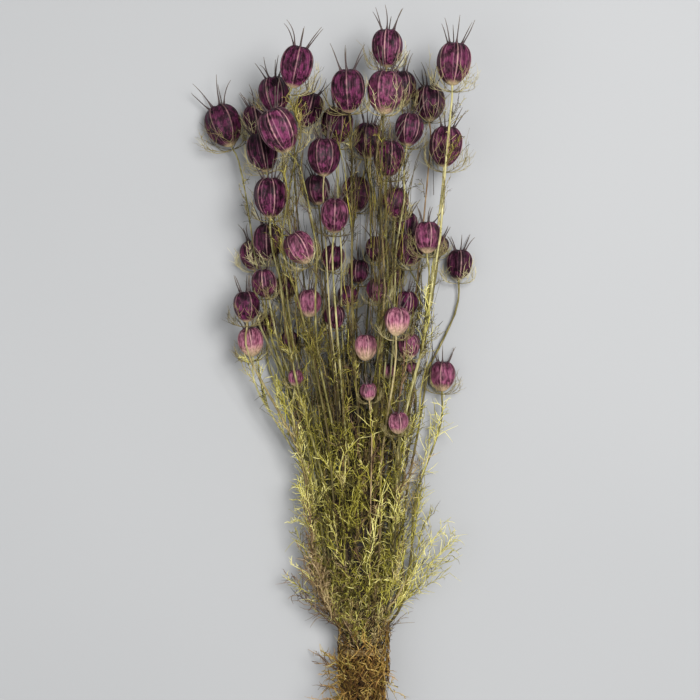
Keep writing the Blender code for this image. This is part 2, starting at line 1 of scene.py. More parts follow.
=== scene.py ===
"""The looks of a dried bunch of nigella seed pods, lying on a pale surface.

The layout repeats the one that the solids were built from, with the same seed and the same order of
random draws, so each fine piece lies where the solid that it stands for does. Lengths are in metres:
MM turns millimetres into metres.
"""

import itertools
import math
import random

import bpy
import numpy as np
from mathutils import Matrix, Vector


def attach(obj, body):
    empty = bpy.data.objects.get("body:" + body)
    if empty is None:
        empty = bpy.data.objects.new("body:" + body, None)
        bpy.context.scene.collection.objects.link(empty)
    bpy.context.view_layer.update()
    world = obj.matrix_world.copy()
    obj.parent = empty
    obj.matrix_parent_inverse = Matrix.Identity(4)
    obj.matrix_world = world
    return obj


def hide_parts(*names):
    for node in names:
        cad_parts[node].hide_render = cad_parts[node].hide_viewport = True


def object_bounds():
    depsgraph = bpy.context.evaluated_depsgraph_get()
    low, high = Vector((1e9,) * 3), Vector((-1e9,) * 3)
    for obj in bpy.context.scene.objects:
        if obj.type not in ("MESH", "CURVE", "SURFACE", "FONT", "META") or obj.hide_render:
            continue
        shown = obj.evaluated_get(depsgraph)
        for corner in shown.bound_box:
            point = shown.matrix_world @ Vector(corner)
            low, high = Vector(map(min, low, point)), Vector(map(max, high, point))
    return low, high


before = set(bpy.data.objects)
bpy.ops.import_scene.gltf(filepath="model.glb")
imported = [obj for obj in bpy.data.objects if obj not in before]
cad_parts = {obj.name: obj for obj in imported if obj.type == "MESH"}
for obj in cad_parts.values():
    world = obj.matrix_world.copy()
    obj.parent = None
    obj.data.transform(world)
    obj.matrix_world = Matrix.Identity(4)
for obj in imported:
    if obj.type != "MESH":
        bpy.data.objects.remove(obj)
cad_low, cad_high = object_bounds()

MM = 0.001
SEED = 7

# Heads: where each one lies (x, y) in millimetres, its layer (0 is on the surface), its width in
# millimetres and how many degrees it leans to the right, from the far end of the bunch down
HEADS = (
    (15, 396, 2, 20, 2),
    (58, 386, 2, 22, 4),
    (-43, 381, 3, 21.5, 12),
    (25, 376, 0, 19.5, -2),
    (-59, 369, 1, 19.5, -8),
    (44, 366, 0, 20, 0),
    (-10, 366, 3, 22, -3),
    (13, 365, 3, 22, 3),
    (-36, 359, 1, 19, 16),
    (-73, 354, 0, 18, -12),
    (-93, 351, 0, 23, -20),
    (-18, 349, 1, 20, 0),
    (30, 346, 1, 18, 8),
    (3, 341, 0, 19.5, 4),
    (-55, 341, 3, 23, -24),
    (54, 335, 1, 21.5, 5),
    (-67, 331, 1, 21, -12),
    (-26, 326, 2, 20, 0),
    (16, 325, 2, 19.5, 4),
    (-31, 308, 0, 17, -5),
    (-5, 305, 0, 19.5, 3),
    (-61, 300, 2, 21, -1),
    (21, 298, 1, 17, 2),
    (-19, 287, 3, 18.5, 2),
    (28, 284, 0, 16, 5),
    (41, 274, 2, 17.5, 0),
    (-63, 272, 1, 20, -1),
    (51, 270, 0, 12, 8),
    (30, 267, 1, 18, -3),
    (9, 267, 1, 15, -6),
    (-42, 266, 3, 18, -28),
    (-74, 264, 0, 17, -6),
    (-20, 261, 1, 15, 12),
    (64, 258, 0, 17, 2),
    (-3, 253, 0, 14, 3),
    (21, 250, 0, 12, 4),
    (-65, 244, 2, 16, -6),
    (-52, 242, 0, 14.5, 4),
    (9, 239, 2, 14, -3),
    (-11, 236, 1, 13, -2),
    (-36, 231, 2, 15.5, -2),
    (28, 231, 1, 15, 6),
    (-77, 229, 2, 17, -4),
    (-19, 222, 2, 13.5, -5),
    (21, 219, 3, 16, 2),
    (-65, 217, 0, 13, -4),
    (-75, 206, 1, 16.5, -8),
    (-49, 206, 1, 12, -6),
    (30, 203, 2, 14, -4),
    (1, 202, 2, 15, 0),
    (32, 188, 1, 8, -5),
    (16, 186, 1, 9, 3),
    (53, 183, 0, 17, 3),
    (-45, 182, 2, 10, 3),
    (3, 173, 3, 10.5, -4),
    (22, 153, 3, 13, -3),
)
LAYER_PITCH = 19.5 * MM
LAYERS_MEET_Y = -250 * MM  # the layers of heads lie closer together nearer to the tie
FULL_DEPTH_Y = 360 * MM
POD_GAP = 1.6 * MM
NOD = 7.0  # degrees that a head tips up or down from the slope of its stem
SLOPE_SHARE = 0.8
SETTLE_ROUNDS = 400
PUSH_BY_AXIS = (0.35, 0.35, 1.0)
PUSH_SHARE = 0.55
BALL_SHARE = 0.8  # how wide the balls at a pod's ends are, beside the one at its middle

# Pods, as the solids have them
LENGTH_OVER_WIDTH = 0.92
LONGER_BY_WIDTH = 14.5  # added to that ratio for each metre of width
SIX_CARPELS_FROM = 17.5 * MM
SKIN_POWER = 2.3
SKIN_ROWS = 5
GROOVE = 0.9
NARROWER_BASE = 0.07
FLATTER_TOP = 0.1
HORN_ROOT_ALONG = 0.78
HORN_ROOT_OUT = 0.4
HORN_LENGTH = 1.3
HORN_LEAN = (14.0, 34.0)
HORN_RADIUS = 0.8 * MM
HORN_GAP = 1.3 * MM
HORN_FOOT = 0.2  # share of a horn that may touch what is round its root
HORN_TRIES = (  # shares of its length, degrees more of lean and turns that a horn tries
    (1, 0.8, 0.6, 0.45, 0.3),
    (0, -12, 12, 22),
    (0, 0.22, -0.22),
)

# Tie
TIE_INNER_RADIUS = 13.6 * MM
TIE_THICKNESS = 1.9 * MM
TIE_WIDTH = 4.5 * MM
PRESSED_FLAT = 0.35 * MM
TIE_HEIGHT = TIE_INNER_RADIUS + TIE_THICKNESS - PRESSED_FLAT

# Stems: they pass through the tie in a round bundle, then fan out
CUT_END_Y = -45 * MM
CUT_END_FLARE = 1.05
BUNDLE_RADIUS = 10.4 * MM
BUNDLE_PITCH = 2.2 * MM
BUNDLE_FROM_HEADS = (0.1, 0.18)  # how far off the middle a stem starts, for its head's x and height
PACK_ROUNDS = 300
PACK_SHARE = 0.3
STEM_RADIUS = 0.85 * MM
DRAWN_STEM_RADIUS = 1.2 * MM
STEM_GAP = 1.3 * MM
STEM_TOLERANCE = 1.0 * MM
STEM_STEP = 6 * MM
STRAIGHT_NECK = 24 * MM
NECK_GAP = 0.6 * MM
HELD_NECK = 8 * MM
SWAY = 1.2 * MM
KNOTS = (0.2, 0.42, 0.68)  # where a stem's curve is led, as shares of the way to its neck
PAST_FAN = 1.08
BEND_ROUNDS = 80
EASED_ROUNDS = 60
FAN = (  # y along the bunch and half the width of the fan of stems there, in millimetres
    (0, 11),
    (20, 20),
    (37, 26),
    (63, 30),
    (89, 32),
    (115, 35),
    (134, 40),
    (157, 48),
    (183, 60),
    (206, 69),
    (240, 76),
    (300, 88),
    (420, 110),
)
CORE = (  # y, half the width and half the height, in millimetres
    (-45, 13.3, 13.3),
    (0, 13.0, 13.0),
    (25, 15.5, 12.5),
    (60, 20.0, 12.0),
    (100, 20.0, 11.0),
    (135, 17.0, 9.0),
    (165, 10.0, 6.0),
    (190, 3.0, 2.5),
)

# Leaves, as the solids have them
FLOOR_GAP = 0.7 * MM
THREAD_RADIUS = 0.6 * MM
THREAD_GAP = 0.6 * MM
FROND_COUNT = 25
FROND_Y = (19 * MM, 205 * MM)
FROND_GATHER = 1.15
FROND_TRIES = 14
FROND_SPREAD = (8, 26)  # degrees
FROND_LENGTH = (30, 46)
STRAY_SPRIGS = ((30, 62, 76), (30, -50, 47))  # start y, end x and end y, in millimetres
SPRIG_RISE = 4 * MM
GOLDEN_ANGLE = math.pi * (3 - math.sqrt(5))
BRACT_DRAWS = 4  # draws that each head's solid bracts take, which the looks have no use for
THREAD_DRAWS = 7  # and those that the threads of each solid leaf take

# Brown leaves round the cut ends, as the solids have them
SLEEVE_RADIUS = 14.3 * MM
SLEEVE_LOW_Y = -43 * MM
DRY_FROND_COUNT = 5
DRY_FROND_LENGTH = (22, 34)
DRY_LOWEST = -0.35  # the sine of the lowest angle at which one stands out

# Looks: the pods
SEAM_STEPS = (  # where the corners of a ring are, as shares of a carpel
    -0.5, -0.38, -0.29, -0.22, -0.15, -0.052, 0, 0.052, 0.15, 0.22, 0.29, 0.38,
)
POD_ROWS = 25
RIB_PLACE = 0.22  # shares of a carpel from the seam
RIB_HEIGHT = 0.3  # share of the seam's
WIDER = 1.04  # the looks' pods beside the solids' ones
LONGER_TOP = 1.06
LONGER_BASE = 1.14
ROUNDER_TOP = 0.22  # and how much narrower they are at their ends
ROUNDER_BASE = 0.3
SEAM_WIDTH = 0.055  # angles round the pod
SEAM_HEIGHT = 0.32 * MM
ON_SEAM = 0.01
CREASE_WIDTH = 0.1
CREASE_DEPTH = 0.25 * MM
BAND_PLACE = 0.13
BAND_WIDTH = 0.08
# painted shade in the grooves between carpels, added to the dark band
PAINTED_SHADE_IN_CREASE = 0.6
PLEAT = 0.05 * MM
PLEATS_A_CARPEL = 6
WOBBLE = 0.015  # share of the pod's radius
CROWN_FROM = 0.72
CROWN_SPAN = 0.28
CROWN_FOLD = 0.04
CROWN_DIP = 0.06
CROWN_MIDDLE = 0.86
HORN_POINTS = 10
HORN_SIDES = 5
HORN_BOW = 0.08
HORN_HOOK = 0.14
HORN_RADII = ((0, 1.2), (0.12, 0.7), (0.25, 0.42), (0.7, 0.3), (1, 0.14))
# painted shade: how much darker the pods of each layer are, the lowest darkest, for the shade deep in
# the bunch
PAINTED_SHADE_BY_LAYER = (0.5, 0.42, 0.28, 0.18)
CLEAR_BY_LAYER = (0.2, 0.25, 0.5, 0.65)  # how many of its pods have no threads over them
CLEAR_FROM_PINK = 0.4
BARE_WITHIN = 0.95  # share of the pod's radius

# Looks: the stems
THICK_STEM = 0.92 * MM
THIN_STEM = 0.6 * MM
STEM_SIDES = 6
STEM_UNEVEN = 0.07
STEM_IN_POD = 0.4 * MM
NECK_SWELL = 0.6
NECK_SWELL_LENGTH = 2 * MM
LEAFY_UP_TO = 190 * MM
SIDE_STEM = 50 * MM
SIDE_STEM_PALER = 0.35
BARE_NECK = 15 * MM  # no leaves grow this near to a stem's upper end
CORE_SHARE = 0.7
CORE_ROWS = 60
CORE_SIDES = 72
CORE_LUMPS = 0.07

# Looks: the threads of leaves
RIB_POINTS = 8
RIB_TAPER = (1.3, 0.7)
RIB_WAVE = 0.05
THREAD_POINTS = 4
THREAD_SIDES = 3
THREAD = 0.27 * MM
THREAD_WAVE = 0.09
THREAD_TAPER = ((0, 0.7, 1), (0.9, 0.7, 0.3))  # shares of the way along and of the radius
LONGEST_LEAFLET = 12 * MM
LEAFLET_SPREAD = 0.6
LEAFLET_STRAY = 0.36
FORKED = 0.45  # how many leaflets fork
FORK_AT = 0.45
FORK_LENGTH = 0.65
FORK_SPREAD = 0.7
RIB_TONES = 0.05
THREAD_TONES = 0.2
OUTER_SHARE = 0.6
BOX_GAP = 0.3 * MM
THREAD_GAP_SHOWN = 0.4 * MM

# Looks: the bracts
BRACT = 0.17 * MM
BRACTS_SHOWN = 12
BRACT_TRIES = 4
BRACT_POINTS = 8
BRACT_TAPER = (1.4, 0.5)
BRACT_FOOT = 0.8 * MM
BRACT_BROWN = 0.1
BRANCHLETS = 9
BRANCHLET_TAPER = (0.95, 0.4)

# Looks: bands of leaves, as a name, how many, from which y to which, how much they gather at the low
# end, how long they are in millimetres, how many degrees they spread, how many leaflets each has, how
# thick its threads are in millimetres and how bright it is
LEAF_PLAN = (
    ("leaves_waist", 300, -12, 45, 1.0, (14, 34), (4, 32), 12, 0.27, 1.0),
    ("leaves_low", 255, 25, 90, 1.0, (18, 36), (2, 16), 12, 0.27, 1.0),
    ("leaves_middle", 245, 75, 140, 1.0, (18, 34), (2, 12), 12, 0.27, 0.95),
    ("leaves_upper", 270, 130, 200, 1.0, (14, 28), (2, 15), 12, 0.24, 0.75),
    ("leaves_high", 340, 180, 350, 1.3, (10, 22), (8, 34), 8, 0.2, 0.55),
)
LEAF_STRAY = 0.16
LEAF_BEND = 0.22
LEAST_SPREAD = 0.3
LEAST_SHADE = 0.02  # painted shade darkens leaves in the middle; painted light makes them paler at the sides, on top and at the left, less so at the right
MOST_SHADE = 0.93
SIDE_PAINTED_LIGHT = 0.78
SIDE_POWER = 1.3
UPPER_PAINTED_LIGHT = 0.32
LEFT_PAINTED_LIGHT = 0.2
RIGHT_PAINTED_SHADE = 0.06
SHADE_SPREAD = 0.25
FRONT_COUNT = 80  # leaves over the upper side of the bundle's middle
FRONT_Y = (12, 135)
FRONT_LEAFLETS = 12
OUTER_LEAFLETS = 24
SHOOTS = 950  # thin shoots between the stems of the fan, dark partly in their own olive and partly as painted shade
SHOOTS_Y = (120, 310)
SHOOT_LENGTH = (25, 80)
SHOOT_STRAY = (5, 0, 4)  # how far off the stems their roots are, by axis
SHOOT_POINTS = 10
SHOOT = 0.25 * MM
SHOOTS_WITHIN = 0.7  # share of the fan's half width
# Where leaves are withered brown: middle x and y, how far that reaches in x and y, and how often
BROWN_PATCHES = (
    (-30, 45, 13, 20, 0.75),
    (34, 118, 14, 30, 0.35),
    (0, 14, 22, 16, 0.5),
    (0, 100, 14, 60, 0.28),
)
BROWN_ANYWHERE = 0.1
# Fans of leaves that stand out at the sides: x and y of their root, how withered they are, and x and y
# of each tip
FANS = (
    (19, 26, 0.0, ((46, 78), (54, 84), (63, 78), (60, 64), (49, 56), (40, 66))),
    (-15, 14, 0.9, ((-50, 48), (-47, 40), (-44, 58), (-38, 66), (-34, 50), (-30, 60), (-40, 50))),
)
# Layers of withered leaves round the cut ends: how many, from which radius to which, how far they
# wander, how long they are and from which y to which
BASE_LAYERS = (
    (560, (9.5, 14.0), 0.8, (10, 26), (-45, -5)),
    (420, (13.5, 16.0), 1.6, (8, 20), (-45, -5)),
    (260, (16.3, 17.2), 0.5, (10, 22), (-18, 10)),
)
BASE_POINTS = 6
BASE_TAPER = ((0, 0.8, 1), (0.32, 0.26, 0.12))
BASE_RADII = (9 * MM, 21 * MM)  # where every one of them is held
BASE_LEAFLETS = 18
BASE_WISPS = 42
WISP_ROOT = 12.5 * MM
WISP_Y = (-42, -6)
WISP_LENGTH = (7, 24)
WISPS_AT_LEFT = 0.7
WISP_LEAFLETS = 7

# Looks: the tie's twisted strands
STRAND_PITCH = 1.3 * MM
STRAND_POINTS = 160
STRAND_SWAY = 0.22 * MM
PLY_RADIUS = 0.5 * MM
PLY_SIDES = 6
PLY_OUT = (0.45 * MM, 0.42 * MM)  # how far a ply winds from its strand's middle, out and along
TWISTS = 22

# Looks: how pink each of the paler pods is, by its number
PINKER = {
    45: 0.9, 50: 1.0, 47: 0.8, 56: 0.55, 52: 0.5, 54: 0.45, 55: 0.45, 51: 0.4,
    53: 0.35, 41: 0.35, 31: 0.3, 49: 0.25, 26: 0.2, 8: 0.15, 24: 0.1, 39: 0.1,
}

DARK_PURPLE = (0.006, 0.001, 0.0035, 1)
PURPLE = (0.05, 0.004, 0.024, 1)
ROSE_PURPLE = (0.165, 0.022, 0.086, 1)
BLACK_PURPLE = (0.0025, 0.0006, 0.002, 1)
DEEP_PINK = (0.13, 0.016, 0.05, 1)
PALE_PINK = (0.48, 0.19, 0.25, 1)
SEAM_PINK = (0.36, 0.17, 0.21, 1)
SEAM_CREAM = (0.5, 0.3, 0.27, 1)
CREAM = (0.62, 0.48, 0.26, 1)
HORN_TONES = (
    (0.0, PURPLE),
    (0.12, (0.03, 0.014, 0.018, 1)),
    (0.6, (0.055, 0.036, 0.03, 1)),
    (1.0, (0.14, 0.11, 0.075, 1)),
)
STEM_TONES = (
    (0.0, (0.025, 0.018, 0.008, 1)),
    (0.45, (0.15, 0.13, 0.035, 1)),
    (1.0, (0.66, 0.6, 0.3, 1)),
)
LEAF_TONES = (
    (0.0, (0.008, 0.005, 0.003, 1)),
    (0.35, (0.1, 0.082, 0.014, 1)),
    (0.65, (0.43, 0.38, 0.045, 1)),
    (1.0, (0.92, 0.84, 0.32, 1)),
)
BRACT_TONES = (
    (0.0, (0.06, 0.042, 0.018, 1)),
    (0.5, (0.3, 0.25, 0.1, 1)),
    (1.0, (0.66, 0.6, 0.33, 1)),
)
FIBRE_TONES = (
    (0.0, (0.08, 0.05, 0.02, 1)),
    (0.5, (0.24, 0.17, 0.07, 1)),
    (1.0, (0.45, 0.36, 0.18, 1)),
)
BROWN_TONES = (
    (0.0, (0.012, 0.006, 0.005, 1)),
    (0.5, (0.16, 0.085, 0.045, 1)),
    (1.0, (0.5, 0.35, 0.2, 1)),
)
BASE_TONES = (
    (0.0, (0.01, 0.005, 0.002, 1)),
    (0.5, (0.13, 0.053, 0.011, 1)),
    (1.0, (0.5, 0.275, 0.07, 1)),
)
FLOOR_TONES = ((0.3, (0.336, 0.338, 0.34, 1)), (0.7, (0.352, 0.354, 0.356, 1)))

# The photograph's view: its middle on the bunch, how much it takes in across, and how far off it is
VIEW_CENTRE = (-9.1 * MM, 199.6 * MM, 45 * MM)
VIEW_WIDTH = 455 * MM
VIEW_DISTANCE = 1.2
FLOOR_HALF_WIDTH = 4.0
FLOOR_DROP = 0.3 * MM
LIGHTS = (  # name, place, size and power
    ("key", (0.46, 0.45, 1.38), 0.6, 30.5),
    ("fill", (-0.75, -0.1, 1.1), 1.2, 7),
)
SKY_COLOUR = (0.93, 0.96, 1.0, 1)
SKY_STRENGTH = 0.38


def unit(vector):
    return vector / np.linalg.norm(vector)


class Head:
    """One seed head: where its pod lies, which way it points and how big it is."""

    def __init__(self, number, row, draw):
        x, y, layer, width, lean = row
        width *= MM
        self.name = f"pod_{number:02d}"
        self.radius = width / 2
        self.half_length = self.radius * (LENGTH_OVER_WIDTH + LONGER_BY_WIDTH * width)
        self.carpels = 6 if width > SIX_CARPELS_FROM else 5
        self.turn = draw.uniform(0, 2 * math.pi / self.carpels)
        deep = (y * MM - LAYERS_MEET_Y) / (FULL_DEPTH_Y - LAYERS_MEET_Y)
        height = self.radius + layer * LAYER_PITCH * deep
        self.centre = np.array((x * MM, y * MM, height))
        rise = math.atan2(height - TIE_HEIGHT, y * MM) * SLOPE_SHARE
        rise += math.radians(draw.uniform(-NOD, NOD))
        lean = math.radians(lean)
        self.axis = np.array(
            (math.sin(lean) * math.cos(rise), math.cos(lean) * math.cos(rise), math.sin(rise))
        )
        self.side = unit(np.cross(self.axis, (0, 0, 1)))
        self.under = np.cross(self.axis, self.side)
        if layer == 0:
            self.centre[2] = self.drop() - PRESSED_FLAT

    def at(self, along, out, angle):
        """The point that far along the axis from the centre, and that far out from the axis."""
        outward = math.cos(angle) * self.side + math.sin(angle) * self.under
        return self.centre + along * self.axis + out * outward

    def outward(self, angles):
        """The way out from the axis at each of the angles round it."""
        return np.cos(angles)[..., None] * self.side + np.sin(angles)[..., None] * self.under

    def base(self):
        return self.centre - self.axis * self.half_length

    def skin(self, height, angle):
        """Where the pod's skin is, as (along, out), at a height of -1 to 1 and an angle round it."""
        out = (1 - np.minimum(1, np.abs(height)) ** SKIN_POWER) ** (1 / SKIN_POWER)
        rib = np.cos(self.carpels * (angle - self.turn))
        out = out * (1 - (1 - GROOVE) * (1 - rib) / 2)
        out = out * (1 - NARROWER_BASE * np.maximum(0, -height))
        along = height * (1 - FLATTER_TOP * np.maximum(0, height) ** 4)
        return along * self.half_length, out * self.radius

    def drop(self):
        """How far the pod reaches below its centre."""
        lowest = self.centre[2]
        for row in range(1, SKIN_ROWS):
            for side in range(2 * self.carpels):
                angle = self.turn + math.pi * side / self.carpels
                along, out = self.skin(math.cos(math.pi * row / SKIN_ROWS), angle)
                lowest = min(lowest, self.at(along, out, angle)[2])
        return self.centre[2] - lowest

    def balls(self):
        """Three balls that fill the pod, as (centre, radius)."""
        step = 0.5 * (self.half_length - BALL_SHARE * self.radius) + 0.25 * self.radius
        for along, share in ((-step, BALL_SHARE), (0, 1.0), (step, BALL_SHARE)):
            yield self.centre + along * self.axis, share * self.radius

    def depth(self, points, gap):
        """Under 1 for the points that are inside the pod or nearer to it than the gap."""
        offset = points - self.centre
        along = offset @ self.axis
        out = np.linalg.norm(offset - np.outer(along, self.axis), axis=1)
        along = np.abs(along) / (self.half_length + gap)
        out = out / (self.radius + gap)
        return (along**SKIN_POWER + out**SKIN_POWER) ** (1 / SKIN_POWER)


def settle(heads):
    """Pushes pods that meet apart, mostly up and down, and keeps them on or above the surface."""
    for _ in range(SETTLE_ROUNDS):
        moved = False
        for number, one in enumerate(heads):
            for other in heads[number + 1 :]:
                gaps = [
                    (np.linalg.norm(b - a) - r - s, b - a)
                    for a, r in one.balls()
                    for b, s in other.balls()
                ]
                gap, offset = min(gaps, key=lambda pair: pair[0])
                if gap >= POD_GAP:
                    continue
                moved = True
                push = unit(offset * PUSH_BY_AXIS) * (POD_GAP - gap) * PUSH_SHARE
                one.centre = one.centre - push
                other.centre = other.centre + push
        for head in heads:
            head.centre[2] = max(head.centre[2], head.drop() - PRESSED_FLAT)
        if not moved:
            return


def bundle_places(heads):
    """Where each stem passes through the tie, as (x, z) from its middle: packed as the heads lie."""
    middle = max(head.centre[2] for head in heads) / 2
    across, up = BUNDLE_FROM_HEADS
    places = np.array([(head.centre[0] * across, (head.centre[2] - middle) * up) for head in heads])
    for _ in range(PACK_ROUNDS):
        offset = places[:, None] - places[None]
        gap = np.linalg.norm(offset, axis=2) + 1e-9
        push = np.clip(BUNDLE_PITCH - gap, 0, None) / gap
        np.fill_diagonal(push, 0)
        places = places + PACK_SHARE * (offset * push[:, :, None]).sum(axis=1)
        reach = np.linalg.norm(places, axis=1, keepdims=True)
        places = places * np.minimum(1, BUNDLE_RADIUS / (reach + 1e-9))
    return places


def fan_width(y):
    return np.interp(y / MM, *zip(*FAN)) * MM


def smooth_path(knots, step):
    """Points about a step apart on a smooth curve through the knots."""
    knots = np.array(knots)
    knots = np.vstack((2 * knots[0] - knots[1], knots, 2 * knots[-1] - knots[-2]))
    path = []
    for a, b, c, d in zip(knots, knots[1:], knots[2:], knots[3:]):
        count = max(2, round(np.linalg.norm(c - b) / step))
        for t in np.arange(count) / count:
            bend = (2 * a - 5 * b + 4 * c - d) * t**2 + (3 * b - a - 3 * c + d) * t**3
            path.append(0.5 * (2 * b + (c - a) * t + bend))
    path.append(knots[-2])
    return np.array(path)


def stem_path(head, place, heads, draw):
    """From the cut end through the tie and up the fan to the pod."""
    tie = np.array((place[0], 0, TIE_HEIGHT + place[1]))
    cut = np.array((place[0] * CUT_END_FLARE, CUT_END_Y, TIE_HEIGHT + place[1] * CUT_END_FLARE))
    base = head.base() - head.axis * NECK_GAP
    neck = base - head.axis * STRAIGHT_NECK
    knots = [cut, tie]
    for share in KNOTS:
        y = share * neck[1]
        wide = fan_width(y)
        x = np.clip(neck[0] * wide / fan_width(neck[1]), -PAST_FAN * wide, PAST_FAN * wide)
        rise = (wide - fan_width(0)) / (fan_width(neck[1]) - fan_width(0))
        z = TIE_HEIGHT + (neck[2] - TIE_HEIGHT) * rise
        knots.append(np.array((x + draw.uniform(-SWAY, SWAY), y, z + draw.uniform(-SWAY, SWAY))))
    knots += [neck, base]
    return round_pods(smooth_path(knots, STEM_STEP), head, heads)


def round_pods(path, own, heads):
    """The path, bent smoothly round every pod but its own and kept off the surface."""
    shift = np.zeros_like(path)
    held = np.linalg.norm(path - path[-1], axis=1) < HELD_NECK
    for turn in range(BEND_ROUNDS):
        blocked = False
        for head in heads:
            if head is own:
                continue
            points = path + shift
            depth = head.depth(points, STEM_RADIUS + STEM_GAP)
            inside = (depth < 1) & ~held
            if not inside.any():
                continue
            blocked = True
            offset = points - head.centre
            across = offset - np.outer(offset @ head.axis, head.axis)
            way = across[inside].mean(axis=0)
            way = unit(way) if np.linalg.norm(way) > 0.01 * MM else head.side
            shift[inside] += np.outer((1 - depth[inside]) * head.radius + 0.1 * MM, way)
        if turn < EASED_ROUNDS:
            even = (shift[:-2] + shift[2:]) / 2
            eased = 0.5 * (shift[1:-1] + even)
            shift[1:-1] = np.where(held[1:-1, None], shift[1:-1], eased)
        shift[:, 2] = np.maximum(shift[:, 2], STEM_RADIUS + FLOOR_GAP - path[:, 2])
        if turn > EASED_ROUNDS and not blocked:
            break
    return path + shift


def thinned(path, tolerance):
    """The path without the points that its straight runs don't need."""
    if len(path) < 3:
        return path
    run = path[-1] - path[0]
    along = np.clip((path - path[0]) @ run / (run @ run), 0, 1)
    off = np.linalg.norm(path - path[0] - np.outer(along, run), axis=1)
    worst = int(off.argmax())
    if off[worst] < tolerance:
        return path[[0, -1]]
    return np.vstack((thinned(path[: worst + 1], tolerance)[:-1], thinned(path[worst:], tolerance)))


def sampled(path, step=1.5 * MM):
    """Points at most a step apart along the path."""
    runs = []
    for a, b in zip(path, path[1:]):
        count = max(2, int(np.linalg.norm(b - a) / step) + 2)
        runs.append(a + np.linspace(0, 1, count)[:, None] * (b - a))
    return np.vstack(runs)


def crossing(path, y):
    """Where the path crosses that y, as (x, z)."""
    return np.array((np.interp(y, path[:, 1], path[:, 0]), np.interp(y, path[:, 1], path[:, 2])))


class Room:
    """What a thin piece has to stay clear of: the surface, the pods, the stems and the horns."""

    def __init__(self, heads, stems):
        self.heads = heads
        self.stems = np.vstack([sampled(path) for path in stems])
        self.horns = np.empty((0, 3))

    def off_pods(self, path, gap, own=None):
        line = sampled(path)
        if line[:, 2].min() < FLOOR_GAP + gap / 2:
            return False
        return all(head is own or head.depth(line, gap).min() > 1 for head in self.heads)

    def off_horns(self, path, gap):
        return not len(self.horns) or distance(self.horns, path) > gap

    def off_stems(self, path, gap):
        return distance(self.stems, path) > gap

    def has_leaf(self, rib):
        """Whether a leaf's rib misses the surface, the pods and the horns."""
        free = self.off_pods(rib, THREAD_RADIUS + THREAD_GAP)
        return free and self.off_horns(rib, THREAD_RADIUS + HORN_RADIUS + THREAD_GAP)


def distance(points, path):
    return np.linalg.norm(points[None] - sampled(path)[:, None], axis=2).min()


def horn_paths(head, room, draw):
    """The pod's horns, each leant, turned or shortened until it misses what stands round it."""
    made = []
    along = HORN_ROOT_ALONG * head.half_length
    out = HORN_ROOT_OUT * head.radius
    for index in range(head.carpels):
        nominal = draw.uniform(*HORN_LEAN)
        full = head.half_length * HORN_LENGTH * draw.uniform(0.85, 1.1)
        for share, more, turn in itertools.product(*HORN_TRIES):
            length = full * share
            lean = math.radians(nominal + more)
            angle = head.turn + 2 * math.pi * index / head.carpels + turn
            tip = head.at(along + length * math.cos(lean), out + length * math.sin(lean), angle)
            root = head.at(along, out, angle)
            path = np.array((root, tip))
            bare = np.array((root + HORN_FOOT * (tip - root), tip))
            free = room.off_pods(path, HORN_GAP, head)
            free = free and room.off_stems(bare, DRAWN_STEM_RADIUS + HORN_GAP)
            if free and room.off_horns(bare, HORN_RADIUS + HORN_GAP):
                made.append(path)
                break
    for path in made:
        room.horns = np.vstack((room.horns, sampled(path)))
    return made


def pass_over(draw, count):
    """Takes draws that only the solids have a use for, so that the later ones are theirs too."""
    for _ in range(count):
        draw.random()


def frond_rib(root, aim, length, draw):
    """A leaf's rib, as its root, middle and tip."""
    bend = np.array([draw.uniform(-0.25, 0.25) for _ in range(3)])
    middle = root + aim * 0.5 * length
    tip = middle + unit(aim + bend) * 0.5 * length
    pass_over(draw, THREAD_DRAWS)
    return np.array((root, middle, tip))


def fronds(stems, room, draw):
    """The ribs of leaves round the outside of the fan, each from the outermost stem on its side."""
    made = []
    low, high = FROND_Y
    for index in range(FROND_COUNT):
        y = low + ((index + 0.5) / FROND_COUNT) ** FROND_GATHER * (high - low)
        spots = np.array([crossing(stem, y) for stem in stems])
        for attempt in range(FROND_TRIES):
            angle = (index + 0.37 * attempt) * GOLDEN_ANGLE
            side = np.array((1.25 * math.cos(angle), 0.8 * math.sin(angle)))
            x, z = spots[int(((spots - spots.mean(axis=0)) @ side).argmax())]
            side = unit(side)
            spread = math.radians(draw.uniform(*FROND_SPREAD))
            aim = np.array((side[0] * math.sin(spread), math.cos(spread), side[1] * math.sin(spread)))
            rib = frond_rib(np.array((x, y, z)), aim, draw.uniform(*FROND_LENGTH) * MM, draw)
            if room.has_leaf(rib):
                made.append(rib)
                break
    for start_y, end_x, end_y in STRAY_SPRIGS:
        spots = np.array([crossing(stem, start_y * MM) for stem in stems])
        x, z = spots[int((spots[:, 0] * math.copysign(1, end_x)).argmax())]
        root = np.array((x, start_y * MM, z))
        run = np.array((end_x * MM, end_y * MM, z + SPRIG_RISE)) - root
        rib = frond_rib(root, unit(run), np.linalg.norm(run), draw)
        if room.has_leaf(rib):
            made.append(rib)
    return np.array(made)


def dry_fronds(draw):
    """The ribs of the brown leaves that stand out round the cut ends."""
    made = []
    for index in range(DRY_FROND_COUNT):
        angle = index * GOLDEN_ANGLE
        if math.sin(angle) < DRY_LOWEST:
            angle = -angle
        out = np.array((math.cos(angle), 0, math.sin(angle)))
        y = SLEEVE_LOW_Y + (8 + 20 * (index + 0.5) / DRY_FROND_COUNT) * MM
        root = np.array((0, y, TIE_HEIGHT)) + SLEEVE_RADIUS * out
        along = draw.uniform(0.3, 0.8) * (1 if index % 3 else -1)
        aim = unit(out * 0.75 + np.array((0, along, 0)))
        made.append(frond_rib(root, aim, draw.uniform(*DRY_FROND_LENGTH) * MM, draw))
    return np.array(made)


def direction(vectors):
    """The vectors, each divided by its own length."""
    return vectors / (np.linalg.norm(vectors, axis=-1, keepdims=True) + 1e-12)


